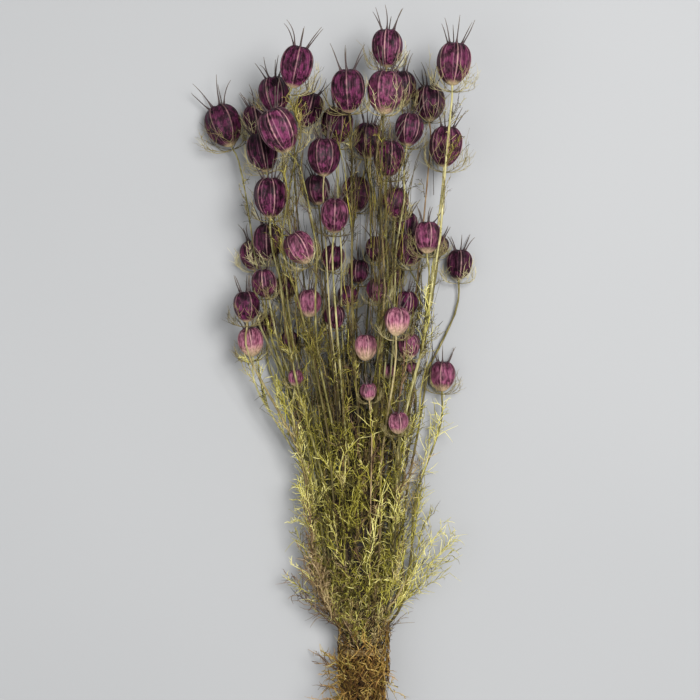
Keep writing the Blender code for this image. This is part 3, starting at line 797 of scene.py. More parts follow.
def ring_faces(index, turned=False):
    """The faces between the rings in a grid of corner numbers, whose last axis goes round."""
    low, high = index[..., :-1, :], index[..., 1:, :]
    corners = [low, np.roll(low, -1, axis=-1), np.roll(high, -1, axis=-1), high]
    if turned:
        corners[1:] = corners[:0:-1]
    return np.stack(corners, axis=-1).reshape(-1, 4)


def tubes(paths, radii, sides):
    """Closed tubes along paths (tube, point, xyz), as corners and lists of faces."""
    run = direction(np.gradient(paths, axis=1))
    least = np.abs(paths[:, -1] - paths[:, 0]).argmin(axis=1)
    side = direction(np.cross(run, np.eye(3)[least][:, None]))
    up = np.cross(run, side)
    turn = 2 * math.pi * np.arange(sides)[:, None] / sides
    ring = np.cos(turn) * side[:, :, None] + np.sin(turn) * up[:, :, None]
    radii = np.broadcast_to(radii, paths.shape[:2])
    points = paths[:, :, None] + radii[:, :, None, None] * ring
    index = np.arange(points[..., 0].size).reshape(points.shape[:3])
    caps = np.concatenate((index[:, 0, ::-1], index[:, -1]))
    return points.reshape(-1, 3), [ring_faces(index), caps]


def placed(name, data):
    """An object of that name in the scene."""
    made = bpy.data.objects.new(name, data)
    bpy.context.scene.collection.objects.link(made)
    return made


class Piece:
    """A mesh being gathered from corners, faces and values at its corners, by name."""

    def __init__(self, name):
        self.name = name
        self.points = []
        self.faces = []
        self.slots = []
        self.values = []
        self.count = 0

    def add(self, points, faces, slot=0, **values):
        for group in faces:
            self.faces.append(group + self.count)
            self.slots.append(np.full(len(group), slot))
        self.points.append(points)
        self.values.append({name: np.broadcast_to(value, len(points)) for name, value in values.items()})
        self.count += len(points)

    def add_tubes(self, paths, radii, sides, slot=0, **values):
        """Tubes whose values are each one number, one a tube, or one a point of each tube."""
        points, faces = tubes(paths, radii, sides)
        spread = {}
        for name, value in values.items():
            value = np.asarray(value, dtype=float)
            value = value.reshape(value.shape + (1,) * (2 - value.ndim))
            spread[name] = np.repeat(np.broadcast_to(value, paths.shape[:2]).ravel(), sides)
        self.add(points, faces, slot, **spread)

    def build(self, looks, slot, *nodes):
        """Makes the object, inside the solids' box and above the surface, and puts it in the frame."""
        mesh = bpy.data.meshes.new(self.name)
        points = np.clip(np.concatenate(self.points), np.array(cad_low), np.array(cad_high))
        corners = np.concatenate([group.ravel() for group in self.faces])
        sizes = np.concatenate([np.full(len(group), group.shape[1]) for group in self.faces])
        mesh.vertices.add(len(points))
        mesh.vertices.foreach_set("co", points.ravel())
        mesh.loops.add(len(corners))
        mesh.loops.foreach_set("vertex_index", corners)
        mesh.polygons.add(len(sizes))
        mesh.polygons.foreach_set("loop_start", np.cumsum(sizes) - sizes)
        mesh.polygons.foreach_set("material_index", np.concatenate(self.slots))
        mesh.update(calc_edges=True)
        mesh.validate()
        for name in sorted({name for values in self.values for name in values}):
            layer = mesh.attributes.new(name, "FLOAT", "POINT")
            parts = [
                values.get(name, np.zeros(len(part)))
                for values, part in zip(self.values, self.points)
            ]
            layer.data.foreach_set("value", np.concatenate(parts).astype(np.float32))
        for look in looks:
            mesh.materials.append(look)
        mesh.shade_smooth()
        made = placed(self.name, mesh)
        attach(made, "root")
        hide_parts(*nodes)


class Look:
    """A procedural material being built from nodes."""

    def __init__(self, name, roughness, specular=0.4):
        self.material = bpy.data.materials.new(name)
        self.material.use_nodes = True
        self.tree = self.material.node_tree
        self.shader = self.tree.nodes["Principled BSDF"]
        self.shader.inputs["Roughness"].default_value = roughness
        self.shader.inputs["Specular IOR Level"].default_value = specular

    def node(self, kind, **settings):
        made = self.tree.nodes.new(kind)
        for name, value in settings.items():
            setattr(made, name, value)
        return made

    def plug(self, value, socket):
        """Joins an output to a socket, or sets the socket to a plain value."""
        if isinstance(value, bpy.types.NodeSocket):
            self.tree.links.new(value, socket)
        else:
            socket.default_value = value

    def value(self, name):
        return self.node("ShaderNodeAttribute", attribute_name=name).outputs["Fac"]

    def noise(self, size, detail=3, stretch=(1, 1, 1)):
        """Noise with features of about that size, drawn out along the axes whose stretch is over 1."""
        place = self.node("ShaderNodeTexCoord").outputs["Object"]
        scaled = self.node("ShaderNodeMapping")
        self.plug(place, scaled.inputs["Vector"])
        scaled.inputs["Scale"].default_value = [1 / share for share in stretch]
        made = self.node("ShaderNodeTexNoise")
        self.plug(scaled.outputs["Vector"], made.inputs["Vector"])
        made.inputs["Scale"].default_value = 1 / size
        made.inputs["Detail"].default_value = detail
        return made.outputs["Fac"]

    def reach(self, value, low, high, onto=(0, 1)):
        """The value, stretched so that low to high becomes the range given, and held inside it."""
        made = self.node("ShaderNodeMapRange")
        for number, place in zip((low, high, *onto), ("From Min", "From Max", "To Min", "To Max")):
            made.inputs[place].default_value = number
        self.plug(value, made.inputs["Value"])
        return made.outputs["Result"]

    def work_out(self, operation, one, other):
        made = self.node("ShaderNodeMath", operation=operation)
        self.plug(one, made.inputs[0])
        self.plug(other, made.inputs[1])
        return made.outputs[0]

    def times(self, one, other):
        return self.work_out("MULTIPLY", one, other)

    def plus(self, one, other):
        return self.work_out("ADD", one, other)

    def mix(self, share, one, other):
        made = self.node("ShaderNodeMix", data_type="RGBA")
        self.plug(share, made.inputs[0])
        self.plug(one, made.inputs[6])
        self.plug(other, made.inputs[7])
        return made.outputs[2]

    def ramp(self, value, *stops):
        """Colours along a value, from (place, colour) pairs."""
        made = self.node("ShaderNodeValToRGB")
        marks = made.color_ramp.elements
        while len(marks) < len(stops):
            marks.new(0.5)
        for mark, (place, colour) in zip(marks, stops):
            mark.position = place
            mark.color = colour
        self.plug(value, made.inputs["Fac"])
        return made.outputs["Color"]

    def bump(self, height, depth):
        made = self.node("ShaderNodeBump")
        made.inputs["Distance"].default_value = depth
        self.plug(height, made.inputs["Height"])
        self.plug(made.outputs["Normal"], self.shader.inputs["Normal"])

    def colour(self, value):
        self.plug(value, self.shader.inputs["Base Color"])
        return self.material


def pod_look():
    """Papery purple skin: mottled, streaked, dark beside the pale seams and cream at the base, with
    painted shade in the grooves between carpels and on the pods that lie lower in the bunch.
    """
    look = Look("pod_skin", 0.5, 0.12)
    streaks = look.noise(1.1 * MM, 4, (1, 4, 1))
    patches = look.noise(4.5 * MM, 4)
    specks = look.noise(0.7 * MM, 2)
    skin = look.ramp(streaks, (0.38, DARK_PURPLE), (0.5, PURPLE), (0.64, ROSE_PURPLE))
    skin = look.mix(look.reach(patches, 0.5, 0.62, (0, 0.75)), skin, ROSE_PURPLE)
    skin = look.mix(look.reach(patches, 0.5, 0.38, (0, 0.8)), skin, DARK_PURPLE)
    pinker = look.ramp(streaks, (0.36, DEEP_PINK), (0.62, PALE_PINK))
    skin = look.mix(look.value("pinkness"), skin, pinker)
    # painted shade: pods that lie lower in the bunch are darkened towards black purple
    skin = look.mix(look.value("dark"), skin, BLACK_PURPLE)
    crown = look.times(look.value("crown"), look.reach(patches, 0.35, 0.6, (0.9, 0.4)))
    skin = look.mix(crown, skin, DARK_PURPLE)
    # the pod's own dark band beside the seams, with painted shade in the grooves between carpels
    band = look.times(look.value("band"), look.reach(streaks, 0.66, 0.4, (0.2, 0.95)))
    skin = look.mix(band, skin, BLACK_PURPLE)
    cream = look.times(look.value("cream"), look.reach(streaks, 0.35, 0.6, (0.6, 1)))
    skin = look.mix(cream, skin, CREAM)
    rib = look.reach(look.value("rib"), 0.3, 1.0)
    rib = look.times(rib, look.reach(patches, 0.4, 0.6, (0.15, 0.6)))
    skin = look.mix(rib, skin, SEAM_PINK)
    seam = look.times(look.value("seam"), look.reach(patches, 0.35, 0.6, (0.4, 1)))
    skin = look.mix(seam, skin, SEAM_CREAM)
    skin = look.mix(look.reach(specks, 0.66, 0.76, (0, 0.4)), skin, SEAM_PINK)
    look.plug(look.reach(patches, 0.3, 0.7, (0.38, 0.62)), look.shader.inputs["Roughness"])
    look.bump(look.plus(streaks, specks), 0.18 * MM)
    return look.colour(skin)


def horn_look():
    """Purple at its root, then dark brown, and paler at its tip."""
    look = Look("horn", 0.6)
    tone = look.ramp(look.value("along"), *HORN_TONES)
    streaks = look.noise(0.6 * MM, 3, (1, 4, 1))
    look.bump(streaks, 0.05 * MM)
    return look.colour(look.mix(look.reach(streaks, 0.4, 0.7, (0, 0.4)), tone, HORN_TONES[-1][1]))


def plant_look(name, tones, brown_tones, grain, roughness=0.7):
    """Dried green plant matter: toned by each thread's own shade, and browner where it says so."""
    look = Look(name, roughness, 0.25)
    streaks = look.noise(grain, 3, (1, 6, 1))
    shade = look.plus(look.value("shade"), look.reach(streaks, 0.3, 0.7, (-0.14, 0.14)))
    green = look.ramp(shade, *tones)
    brown = look.ramp(shade, *brown_tones)
    look.bump(streaks, 0.08 * MM)
    return look.colour(look.mix(look.value("brown"), green, brown))


def pod_relief(head, angle, height, off_seam, rib, crease):
    """The pod's skin as (along, out), with its seams, creases, pleats and dented crown."""
    along, out = head.skin(height, angle)
    middle = np.sqrt(np.clip(1 - height**2, 0, 1))
    ridge = np.exp(-((off_seam / SEAM_WIDTH) ** 2))
    fold = np.cos(off_seam * head.carpels)
    rounder = np.where(height > 0, ROUNDER_TOP, ROUNDER_BASE) * np.abs(height) ** 3
    wobble = np.sin(3 * angle + 7 * head.turn) * np.sin(2.3 * height + 5 * head.turn)
    relief = ridge * SEAM_HEIGHT + RIB_HEIGHT * rib * SEAM_HEIGHT - crease * CREASE_DEPTH
    out = out * WIDER * (1 - rounder) + middle * (relief + WOBBLE * head.radius * wobble)
    out = out + middle * PLEAT * np.sin(PLEATS_A_CARPEL * head.carpels * angle + 2 * height)
    along = along * np.where(height > 0, LONGER_TOP, LONGER_BASE)
    near_top = np.clip((height - CROWN_FROM) / CROWN_SPAN, 0, 1)
    dent = CROWN_FOLD * near_top * (1 - fold) + CROWN_DIP * near_top**3
    return along - head.half_length * dent, out


def pod_values(head, height, off_seam, rib, crease):
    """What the pod's material is toned by at each corner, with its top and its foot last."""
    fade = np.clip((0.97 - np.abs(height)) / 0.25, 0, 1)
    seam = (off_seam < ON_SEAM) * np.clip((1 - np.abs(height)) / 0.1, 0, 1) * head.seam
    # the pod's own dark band beside each seam, plus painted shade in the groove between carpels
    band = np.exp(-(((off_seam - BAND_PLACE) / BAND_WIDTH) ** 2)) + PAINTED_SHADE_IN_CREASE * crease
    cream = np.clip((-height - head.cream_from) / (0.98 - head.cream_from), 0, 1)
    crown = np.clip(height + 0.1, 0, 1) ** 0.8
    return {
        "seam": np.append(seam, (0, 0)),
        "band": np.append(np.minimum(1, band) * fade, (0, 0)),
        "rib": np.append(rib * fade * head.seam, (0, 0)),
        "cream": np.append(cream, (0, 1)),
        "crown": np.append(crown, (1, 0)),
        "pinkness": head.pinkness,
        # painted shade, by the pod's layer
        "dark": head.dark,
    }


def pod_shape(head):
    """The pod's skin as a fine grid, with the values that its material is toned by."""
    carpel = 2 * math.pi / head.carpels
    steps = np.arange(head.carpels)[:, None] + np.array(SEAM_STEPS)
    angles = head.turn + carpel * steps.ravel()
    heights = np.cos(math.pi * np.arange(1, POD_ROWS) / POD_ROWS)
    angle, height = np.meshgrid(angles, heights)
    off_seam = np.abs((angle - head.turn + carpel / 2) % carpel - carpel / 2)
    rib = (np.abs(off_seam / carpel - RIB_PLACE) < ON_SEAM).astype(float)
    crease = np.exp(-(((carpel / 2 - off_seam) / CREASE_WIDTH) ** 2))
    along, out = pod_relief(head, angle, height, off_seam, rib, crease)
    grid = head.centre + along[..., None] * head.axis + out[..., None] * head.outward(angle)
    top = head.centre + head.axis * head.half_length * CROWN_MIDDLE
    foot = head.centre - head.axis * head.half_length * LONGER_BASE
    points = np.vstack((grid.reshape(-1, 3), top, foot))
    index = np.arange(angle.size).reshape(angle.shape)
    first, last = index[0], index[-1]
    at_top = np.stack((np.full(len(angles), index.size), first, np.roll(first, -1)), axis=-1)
    at_foot = np.stack((np.full(len(angles), index.size + 1), np.roll(last, -1), last), axis=-1)
    values = pod_values(head, height, off_seam, rib, crease)
    return points, [ring_faces(index, turned=True), at_top, at_foot], values


def horn_curve(path, head, rng):
    """A horn's points: bowed a little to one side, and mostly turned out at its tip."""
    t = np.linspace(0, 1, HORN_POINTS)[:, None]
    run = path[1] - path[0]
    length = np.linalg.norm(run)
    bow = direction(np.cross(run, rng.normal(size=3))) * length * HORN_BOW * rng.uniform(-1, 1)
    away = direction(run - head.axis * (run @ head.axis)) + 0.4 * rng.normal(size=3)
    hook = away * length * HORN_HOOK * rng.uniform(-0.3, 1)
    return path[0] + run * t + 4 * bow * t * (1 - t) + hook * t**4


def pods(heads, horns, rng):
    """One piece for each pod with its horns."""
    looks = [pod_look(), horn_look()]
    t = np.linspace(0, 1, HORN_POINTS)
    radii = np.interp(t, *zip(*HORN_RADII)) * MM
    for head in heads:
        piece = Piece("seed_" + head.name)
        points, faces, values = pod_shape(head)
        piece.add(points, faces, 0, **values)
        curves = np.array([horn_curve(path, head, rng) for path in horns[head.name]])
        if len(curves):
            piece.add_tubes(curves, radii, HORN_SIDES, 1, along=np.tile(t, (len(curves), 1)))
        piece.build(looks, "pod", head.name)


def stem_tubes(heads, stems, rng):
    """The stems, swollen where they meet their pods, and paler at the bunch's sides."""
    piece = Piece("stems")
    for head, path in zip(heads, stems):
        path = np.vstack((path, head.base() + head.axis * STEM_IN_POD))
        left = np.linalg.norm(path - path[-1], axis=1)
        share = np.clip(path[:, 1] / path[-1][1], 0, 1)
        low = np.clip(1 - path[:, 1] / LEAFY_UP_TO, 0, 1)
        radii = THICK_STEM + (THIN_STEM - THICK_STEM) * share
        radii = radii * (1 + NECK_SWELL * np.exp(-left / NECK_SWELL_LENGTH)) * rng.uniform(0.8, 1.1)
        radii = radii * (1 + STEM_UNEVEN * rng.normal(size=len(path)))
        paler = SIDE_STEM_PALER if abs(head.centre[0]) > SIDE_STEM else 0.0
        shade = rng.uniform(0.1 + paler, 0.75) - rng.uniform(0.1, 0.55) * low
        shade = np.clip(shade + 0.06 * rng.normal(size=len(path)), 0.02, 1)
        brown = np.clip(rng.normal(0.12, 0.25) + 0.3 * low - paler, 0, 0.85)
        piece.add_tubes(path[None], radii, STEM_SIDES, shade=shade[None], brown=brown[None])
    return piece


def quadratic(root, aim, bend, t):
    """Points on the curves root + aim t + bend t squared."""
    return root[:, None] + aim[:, None] * t[..., None] + bend[:, None] * t[..., None] ** 2


def through(ribs):
    """The root, aim and bend of the quadratic curves through the ribs' roots, middles and tips."""
    root, middle, tip = ribs[:, 0], ribs[:, 1], ribs[:, 2]
    return root, 4 * middle - 3 * root - tip, 2 * (tip + root - 2 * middle)


def sideways(ways, rng):
    return direction(np.cross(ways, rng.normal(size=ways.shape)))


def waved(paths, size, rng):
    """The paths with a ripple of about that size, which grows from nothing at their roots."""
    t = np.linspace(0, 1, paths.shape[1])
    across = sideways(paths[:, -1] - paths[:, 0], rng)
    ripple = np.sin(t * rng.uniform(5, 10, (len(paths), 1)) + rng.uniform(0, 6, (len(paths), 1)))
    return paths + across[:, None] * (ripple * np.minimum(1, 3 * t) * size[:, None])[..., None]


def brownness(points, rng):
    """How withered the leaves at these points are."""
    chance = np.full(len(points), BROWN_ANYWHERE)
    for x, y, wide, long, share in BROWN_PATCHES:
        off = ((points[:, 0] / MM - x) / wide) ** 2 + ((points[:, 1] / MM - y) / long) ** 2
        chance = chance + share * np.exp(-off)
    return (rng.uniform(size=len(points)) < chance) * rng.uniform(0.5, 1, len(points))


def leaflet_curves(root, aim, bend, leaflets, rng):
    """The root, aim and bend of curly leaflets that stand off both sides of each leaf's rib."""
    length = np.linalg.norm(aim, axis=1)[:, None]
    flat = sideways(aim, rng)
    share = (np.arange(leaflets) + rng.uniform(0.1, 0.9, (len(root), leaflets))) / leaflets * 0.92 + 0.08
    start = quadratic(root, aim, bend, share)
    tangent = direction(aim[:, None] + 2 * bend[:, None] * share[..., None])
    side = np.where(np.arange(leaflets) % 2, 1, -1)[None, :, None] * flat[:, None]
    way = tangent + side * LEAFLET_SPREAD + rng.normal(size=start.shape) * LEAFLET_STRAY
    way = direction(way)
    size = length * rng.uniform(0.18, 0.45, share.shape) * (1.1 - 0.5 * share)
    size = np.minimum(size, LONGEST_LEAFLET * rng.uniform(0.5, 1, size.shape))[..., None]
    curl = (tangent * 0.3 - way * 0.4 + rng.normal(size=start.shape) * 0.42) * size
    return [part.reshape(-1, 3) for part in (start, way * size, curl)]


def with_forks(threads, rng):
    """The leaflets with a second point on some of them, and which of them have one."""
    forked = rng.uniform(size=len(threads[0])) < FORKED
    root, aim, bend = [part[forked] for part in threads]
    size = np.linalg.norm(aim, axis=1, keepdims=True) * FORK_LENGTH
    start = quadratic(root, aim, bend, np.array([FORK_AT]))[:, 0]
    way = direction(direction(aim) + FORK_SPREAD * sideways(aim, rng)) * size
    forks = (start, way, rng.normal(size=way.shape) * 0.4 * size)
    return [np.concatenate(parts) for parts in zip(threads, forks)], forked


def feathery(piece, keep, rng, curves, leaflets, shade, brown, radius=THREAD):
    """Leaves along the curves (root, aim, bend), as ribs and leaflets of fine thread."""
    count = len(curves[0])
    length = np.linalg.norm(curves[1], axis=1)
    rib = waved(quadratic(*curves, np.linspace(0, 1, RIB_POINTS)), length * RIB_WAVE, rng)
    threads, forked = with_forks(leaflet_curves(*curves, leaflets, rng), rng)
    leaf = np.repeat(np.arange(count), leaflets)
    leaf = np.concatenate((leaf, leaf[forked]))
    t = np.linspace(0, 1, THREAD_POINTS)
    wave = np.linalg.norm(threads[1], axis=1) * THREAD_WAVE
    fine = waved(quadratic(*threads, t), wave, rng)
    tone = shade + rng.normal(size=count) * RIB_TONES
    fine_tone = np.clip(tone[leaf] + rng.normal(size=len(leaf)) * THREAD_TONES, 0, 1)
    ok = keep(rib)
    radii = np.linspace(*RIB_TAPER, RIB_POINTS) * radius
    piece.add_tubes(rib[ok], radii, THREAD_SIDES, shade=tone[ok], brown=brown[ok])
    ok = keep(fine) & ok[leaf]
    radii = np.interp(t, *THREAD_TAPER) * radius * rng.uniform(0.75, 1.15, (len(leaf), 1))
    piece.add_tubes(fine[ok], radii[ok], THREAD_SIDES, shade=fine_tone[ok], brown=brown[leaf][ok])


class Kept:
    """Which threads stay: those that miss the pods and the tie, inside the box and above the surface."""

    def __init__(self, heads):
        self.heads = heads
        self.low = np.array(cad_low) + BOX_GAP
        self.high = np.array(cad_high) - BOX_GAP

    def __call__(self, paths):
        inside = ((paths > self.low) & (paths < self.high)).all(axis=(1, 2))
        from_middle = np.hypot(paths[..., 0], paths[..., 2] - TIE_HEIGHT)
        at_tie = np.abs(paths[..., 1]) < TIE_WIDTH / 2 + THREAD_GAP_SHOWN
        at_tie &= from_middle > TIE_INNER_RADIUS
        at_tie &= from_middle < TIE_INNER_RADIUS + TIE_THICKNESS + BOX_GAP
        inside &= ~at_tie.any(axis=1)
        points = paths.reshape(-1, 3)
        for head in self.heads:
            near = head.depth(points, THREAD_GAP_SHOWN) < 1
            if head.bare:
                off = np.linalg.norm((points - head.centre)[:, :2], axis=1)
                near |= (off < BARE_WITHIN * head.radius) & (points[:, 2] > head.centre[2])
            inside &= ~near.reshape(paths.shape[:2]).any(axis=1)
        return inside


def stem_spots(stems, count, low_y, high_y, lean, rng):
    """Places on the stems, more of them at low y where lean is high, with the way out of the bunch."""
    spots, outs = [], []
    while len(spots) < count:
        y = low_y + (high_y - low_y) * rng.uniform() ** lean
        reach = [stem for stem in stems if stem[-1][1] > y + BARE_NECK]
        places = np.array([crossing(stem, y) for stem in reach])
        middle = places.mean(axis=0)
        spread = np.abs(places - middle).max(axis=0) + 1 * MM
        picks = places[rng.integers(len(places), size=3)]
        out = (picks - middle) / spread
        best = 0
        if rng.uniform() < OUTER_SHARE:
            best = int((out[:, 1] + 0.25 * np.abs(out[:, 0])).argmax())
        spots.append((picks[best][0], y, picks[best][1]))
        outs.append(out[best])
    return np.array(spots), np.array(outs)


def core_middle(stems, rows):
    """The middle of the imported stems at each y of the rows, as (x, z)."""
    middle = np.array([np.mean([crossing(stem, y * MM) for stem in stems], axis=0) for y in rows])
    away = np.clip(rows / 40, 0, 1)[:, None]
    return np.array((0, TIE_HEIGHT)) + (middle - np.array((0, TIE_HEIGHT))) * away


def core_size(rows):
    """Half the width and half the height of the solid core at each y of the rows."""
    y, wide, high = zip(*CORE)
    return np.interp(rows, y, wide), np.interp(rows, y, high)


def leaf_band(stems, keep, rng, row):
    """One band of leaves along the stems: dark in the middle as painted shade, yellow-green at the sides
    and paler on top as painted light.
    """
    name, count, low_y, high_y, lean, lengths, spreads, leaflets, thread, bright = row
    piece = Piece(name)
    root, out = stem_spots(stems, count, low_y * MM, high_y * MM, lean, rng)
    spread = np.radians(rng.uniform(*spreads, count))
    spread = spread * np.clip(np.linalg.norm(out, axis=1), LEAST_SPREAD, 1)
    away = direction(np.column_stack((out[:, 0], np.zeros(count), out[:, 1])))
    aim = away * np.sin(spread)[:, None] + np.array((0, 1, 0)) * np.cos(spread)[:, None]
    length = rng.uniform(*lengths, count) * MM
    aim = direction(aim + rng.normal(size=aim.shape) * LEAF_STRAY) * length[:, None]
    bend = rng.normal(size=aim.shape) * LEAF_BEND * length[:, None]
    x, z = out.T
    # painted light and shade: darker in the middle of the bunch, paler at its sides, on top and at the
    # left, a little darker at the right
    shade = LEAST_SHADE + SIDE_PAINTED_LIGHT * np.abs(x) ** SIDE_POWER + UPPER_PAINTED_LIGHT * np.clip(z, 0, 1)
    shade = shade + LEFT_PAINTED_LIGHT * np.clip(-x, 0, 1) - RIGHT_PAINTED_SHADE * np.clip(x, 0, 1)
    shade = np.clip(shade + rng.normal(size=count) * SHADE_SPREAD, LEAST_SHADE, MOST_SHADE) * bright
    brown = np.maximum(brownness(root + 0.5 * aim, rng), rng.uniform(0, 1.2 * (1 - bright), count))
    feathery(piece, keep, rng, (root, aim, bend), leaflets, shade, brown, thread * MM)
    return piece


def front_leaves(stems, keep, rng):
    """Leaves over the upper side of the bundle's middle, where they hide its core of painted shade."""
    piece = Piece("leaves_front")
    y = rng.uniform(*FRONT_Y, FRONT_COUNT)
    middle = core_middle(stems, y)
    high = core_size(y)[1] * MM
    x = middle[:, 0] + rng.normal(size=FRONT_COUNT) * 9 * MM
    root = np.column_stack((x, y * MM, middle[:, 1] + CORE_SHARE * high))
    lift = np.radians(rng.uniform(3, 22, FRONT_COUNT))
    turn = np.radians(rng.normal(size=FRONT_COUNT) * 16)
    aim = np.column_stack((np.sin(turn), np.cos(turn) * np.cos(lift), np.cos(turn) * np.sin(lift)))
    aim = aim * rng.uniform(16, 34, (FRONT_COUNT, 1)) * MM
    bend = rng.normal(size=aim.shape) * 5 * MM
    shade = np.clip(rng.normal(0.4, 0.25, FRONT_COUNT), 0.05, 0.95)
    brown = brownness(root, rng)
    feathery(piece, keep, rng, (root, aim, bend), FRONT_LEAFLETS, shade, brown)
    return piece


def side_shoots(stems, keep, rng):
    """Thin shoots that stand between the stems of the fan, in dark tones that are partly their own olive
    and partly painted shade.
    """
    piece = Piece("side_shoots")
    low, high = SHOOTS_Y
    root, out = stem_spots(stems, SHOOTS, low * MM, high * MM, 1.0, rng)
    root = root + rng.normal(size=root.shape) * np.array(SHOOT_STRAY) * MM
    aim = direction(root - np.array((0, LAYERS_MEET_Y, TIE_HEIGHT)))
    length = rng.uniform(*SHOOT_LENGTH, SHOOTS) * MM
    aim = direction(aim + rng.normal(size=aim.shape) * 0.09) * length[:, None]
    bend = rng.normal(size=aim.shape) * 0.1 * length[:, None]
    t = np.linspace(0, 1, SHOOT_POINTS)
    paths = waved(quadratic(root, aim, bend, t), 0.028 * length, rng)
    paths = paths[keep(paths) & (np.abs(out[:, 0]) < SHOOTS_WITHIN)]
    count = len(paths)
    radii = np.linspace(1.1, 0.45, SHOOT_POINTS) * SHOOT * rng.uniform(0.7, 1.3, (count, 1))
    # partly painted shade: the shoots are mostly dark, for the shaded threads deep in the fan
    shade = np.clip(rng.normal(0.25, 0.18, count), 0.02, 0.8)
    piece.add_tubes(paths, radii, THREAD_SIDES, shade=shade, brown=rng.uniform(0, 0.7, count))
    return piece


def outer_leaves(leaves, keep, rng):
    """The leaves that stand out round the fan, and the two fans of them at the waist."""
    piece = Piece("leaves_outer")
    shade = rng.uniform(0.45, 0.85, len(leaves))
    brown = brownness(leaves[:, 2], rng)
    feathery(piece, keep, rng, through(leaves), OUTER_LEAFLETS, shade, brown)
    for root_x, root_y, withered, tips in FANS:
        middle = TIE_HEIGHT / MM
        root = np.array([(root_x, root_y, middle + rng.uniform(-4, 8)) for _ in tips]) * MM
        tip = np.array([(x, y, middle + rng.uniform(0, 14)) for x, y in tips]) * MM
        bend = rng.normal(size=root.shape) * 3 * MM
        shade = rng.uniform(0.55, 0.9, len(root)) - 0.3 * withered
        brown = np.clip(withered + rng.normal(size=len(root)) * 0.1, 0, 1)
        feathery(piece, keep, rng, (root, tip - root, bend), OUTER_LEAFLETS, shade, brown)
    return piece


def foliage(heads, stems, leaves, rng):
    """The thread-like leaves along the stems, and the shoots between them."""
    keep = Kept(heads)
    pieces = [leaf_band(stems, keep, rng, row) for row in LEAF_PLAN]
    pieces.append(front_leaves(stems, keep, rng))
    pieces.append(side_shoots(stems, keep, rng))
    pieces.append(outer_leaves(leaves, keep, rng))
    return pieces


def bract_rib(head, nominal, start, rng):
    """A bract's rib, which goes out under the pod and curves up round it, and the ways out along it."""
    t = np.linspace(0, 1, BRACT_POINTS)
    angle = nominal + rng.uniform(-0.3, 0.3) + rng.uniform(-0.7, 0.7) * t**1.5
    reach = rng.uniform(-0.8, 0.4) * head.half_length
    wide = head.radius * rng.uniform(1.15, 1.55) + 1.0 * MM
    out = BRACT_FOOT + (wide - BRACT_FOOT) * np.sin(np.minimum(1, 1.2 * t) * math.pi / 2) ** 0.75
    along = -start + (reach + start) * t**1.7
    outward = head.outward(angle)
    rib = head.centre + along[:, None] * head.axis + out[:, None] * outward
    return waved(rib[None], np.array([0.06 * head.radius]), rng), outward


def branchlets(head, rib, outward, rng):
    """The short threads that stand off a bract's rib."""
    place = rng.integers(2, BRACT_POINTS - 1, BRANCHLETS)
    run = direction(rib[place + 1] - rib[place])
    hand = np.where(np.arange(BRANCHLETS) % 2, 1, -1)[:, None]
    across = direction(np.cross(head.axis, outward[place]))
    way = direction(run * 0.8 + hand * across * 0.75 + rng.normal(size=run.shape) * 0.3)
    long = head.radius * rng.uniform(0.35, 0.9, (BRANCHLETS, 1))
    turn = (0.4 * head.axis - 0.25 * way + rng.normal(size=run.shape) * 0.25) * long
    t = np.linspace(0, 1, THREAD_POINTS)
    return waved(quadratic(rib[place], way * long, turn, t), long[:, 0] * 0.06, rng)


def bract_cups(heads, rng):
    """Branched threads that go out under each pod and curve up round it."""
    piece = Piece("bracts")
    keep = Kept(heads)
    rib_radii = np.linspace(*BRACT_TAPER, BRACT_POINTS) * BRACT
    radii = np.linspace(*BRANCHLET_TAPER, THREAD_POINTS) * BRACT
    for head in heads:
        first = rng.uniform(0, 2 * math.pi)
        start = head.half_length + rng.uniform(0.25, 0.6) * head.radius
        tone = rng.uniform(0.15, 0.8)
        for index in range(BRACTS_SHOWN):
            for _ in range(BRACT_TRIES):
                rib, outward = bract_rib(head, first + 2 * math.pi * index / BRACTS_SHOWN, start, rng)
                if keep(rib)[0]:
                    break
            else:
                continue
            shade = np.clip(tone + rng.normal() * 0.15, 0, 1)
            piece.add_tubes(rib, rib_radii, THREAD_SIDES, shade=shade, brown=BRACT_BROWN)
            fine = branchlets(head, rib[0], outward, rng)
            fine = fine[keep(fine)]
            shades = np.clip(shade + rng.normal(size=len(fine)) * 0.12, 0, 1)
            piece.add_tubes(fine, radii, THREAD_SIDES, shade=shades, brown=BRACT_BROWN)
    return piece


def painted_shade_core(stems):
    """The body at the middle of the bundle, which the leaves stand out of: its shape stands for the
    packed stems and leaves, and its near-black colour is painted shade.
    """
    piece = Piece("inner_bundle_painted_shade")
    rows = np.linspace(CORE[0][0], CORE[-1][0], CORE_ROWS)
    angle = 2 * math.pi * np.arange(CORE_SIDES) / CORE_SIDES
    wide, high = core_size(rows)
    middle = core_middle(stems, rows)
    y = rows[:, None]
    lumps = np.sin(11 * angle[None] + y * 0.21) * np.sin(y * 0.33 + 3 * angle[None])
    share = CORE_SHARE * (1 + CORE_LUMPS * lumps)
    x = middle[:, :1] + share * wide[:, None] * MM * np.cos(angle)
    z = middle[:, 1:] + share * high[:, None] * MM * np.sin(angle)
    grid = np.stack((x, np.broadcast_to(y * MM, x.shape), z), axis=-1)
    index = np.arange(x.size).reshape(x.shape)
    faces = [ring_faces(index, turned=True), index[:1], index[-1:, ::-1]]
    # painted shade: a tone below the darkest leaf tone, so the body shows as near-black gaps
    piece.add(grid.reshape(-1, 3), faces, shade=-0.1, brown=0.3)
    return piece


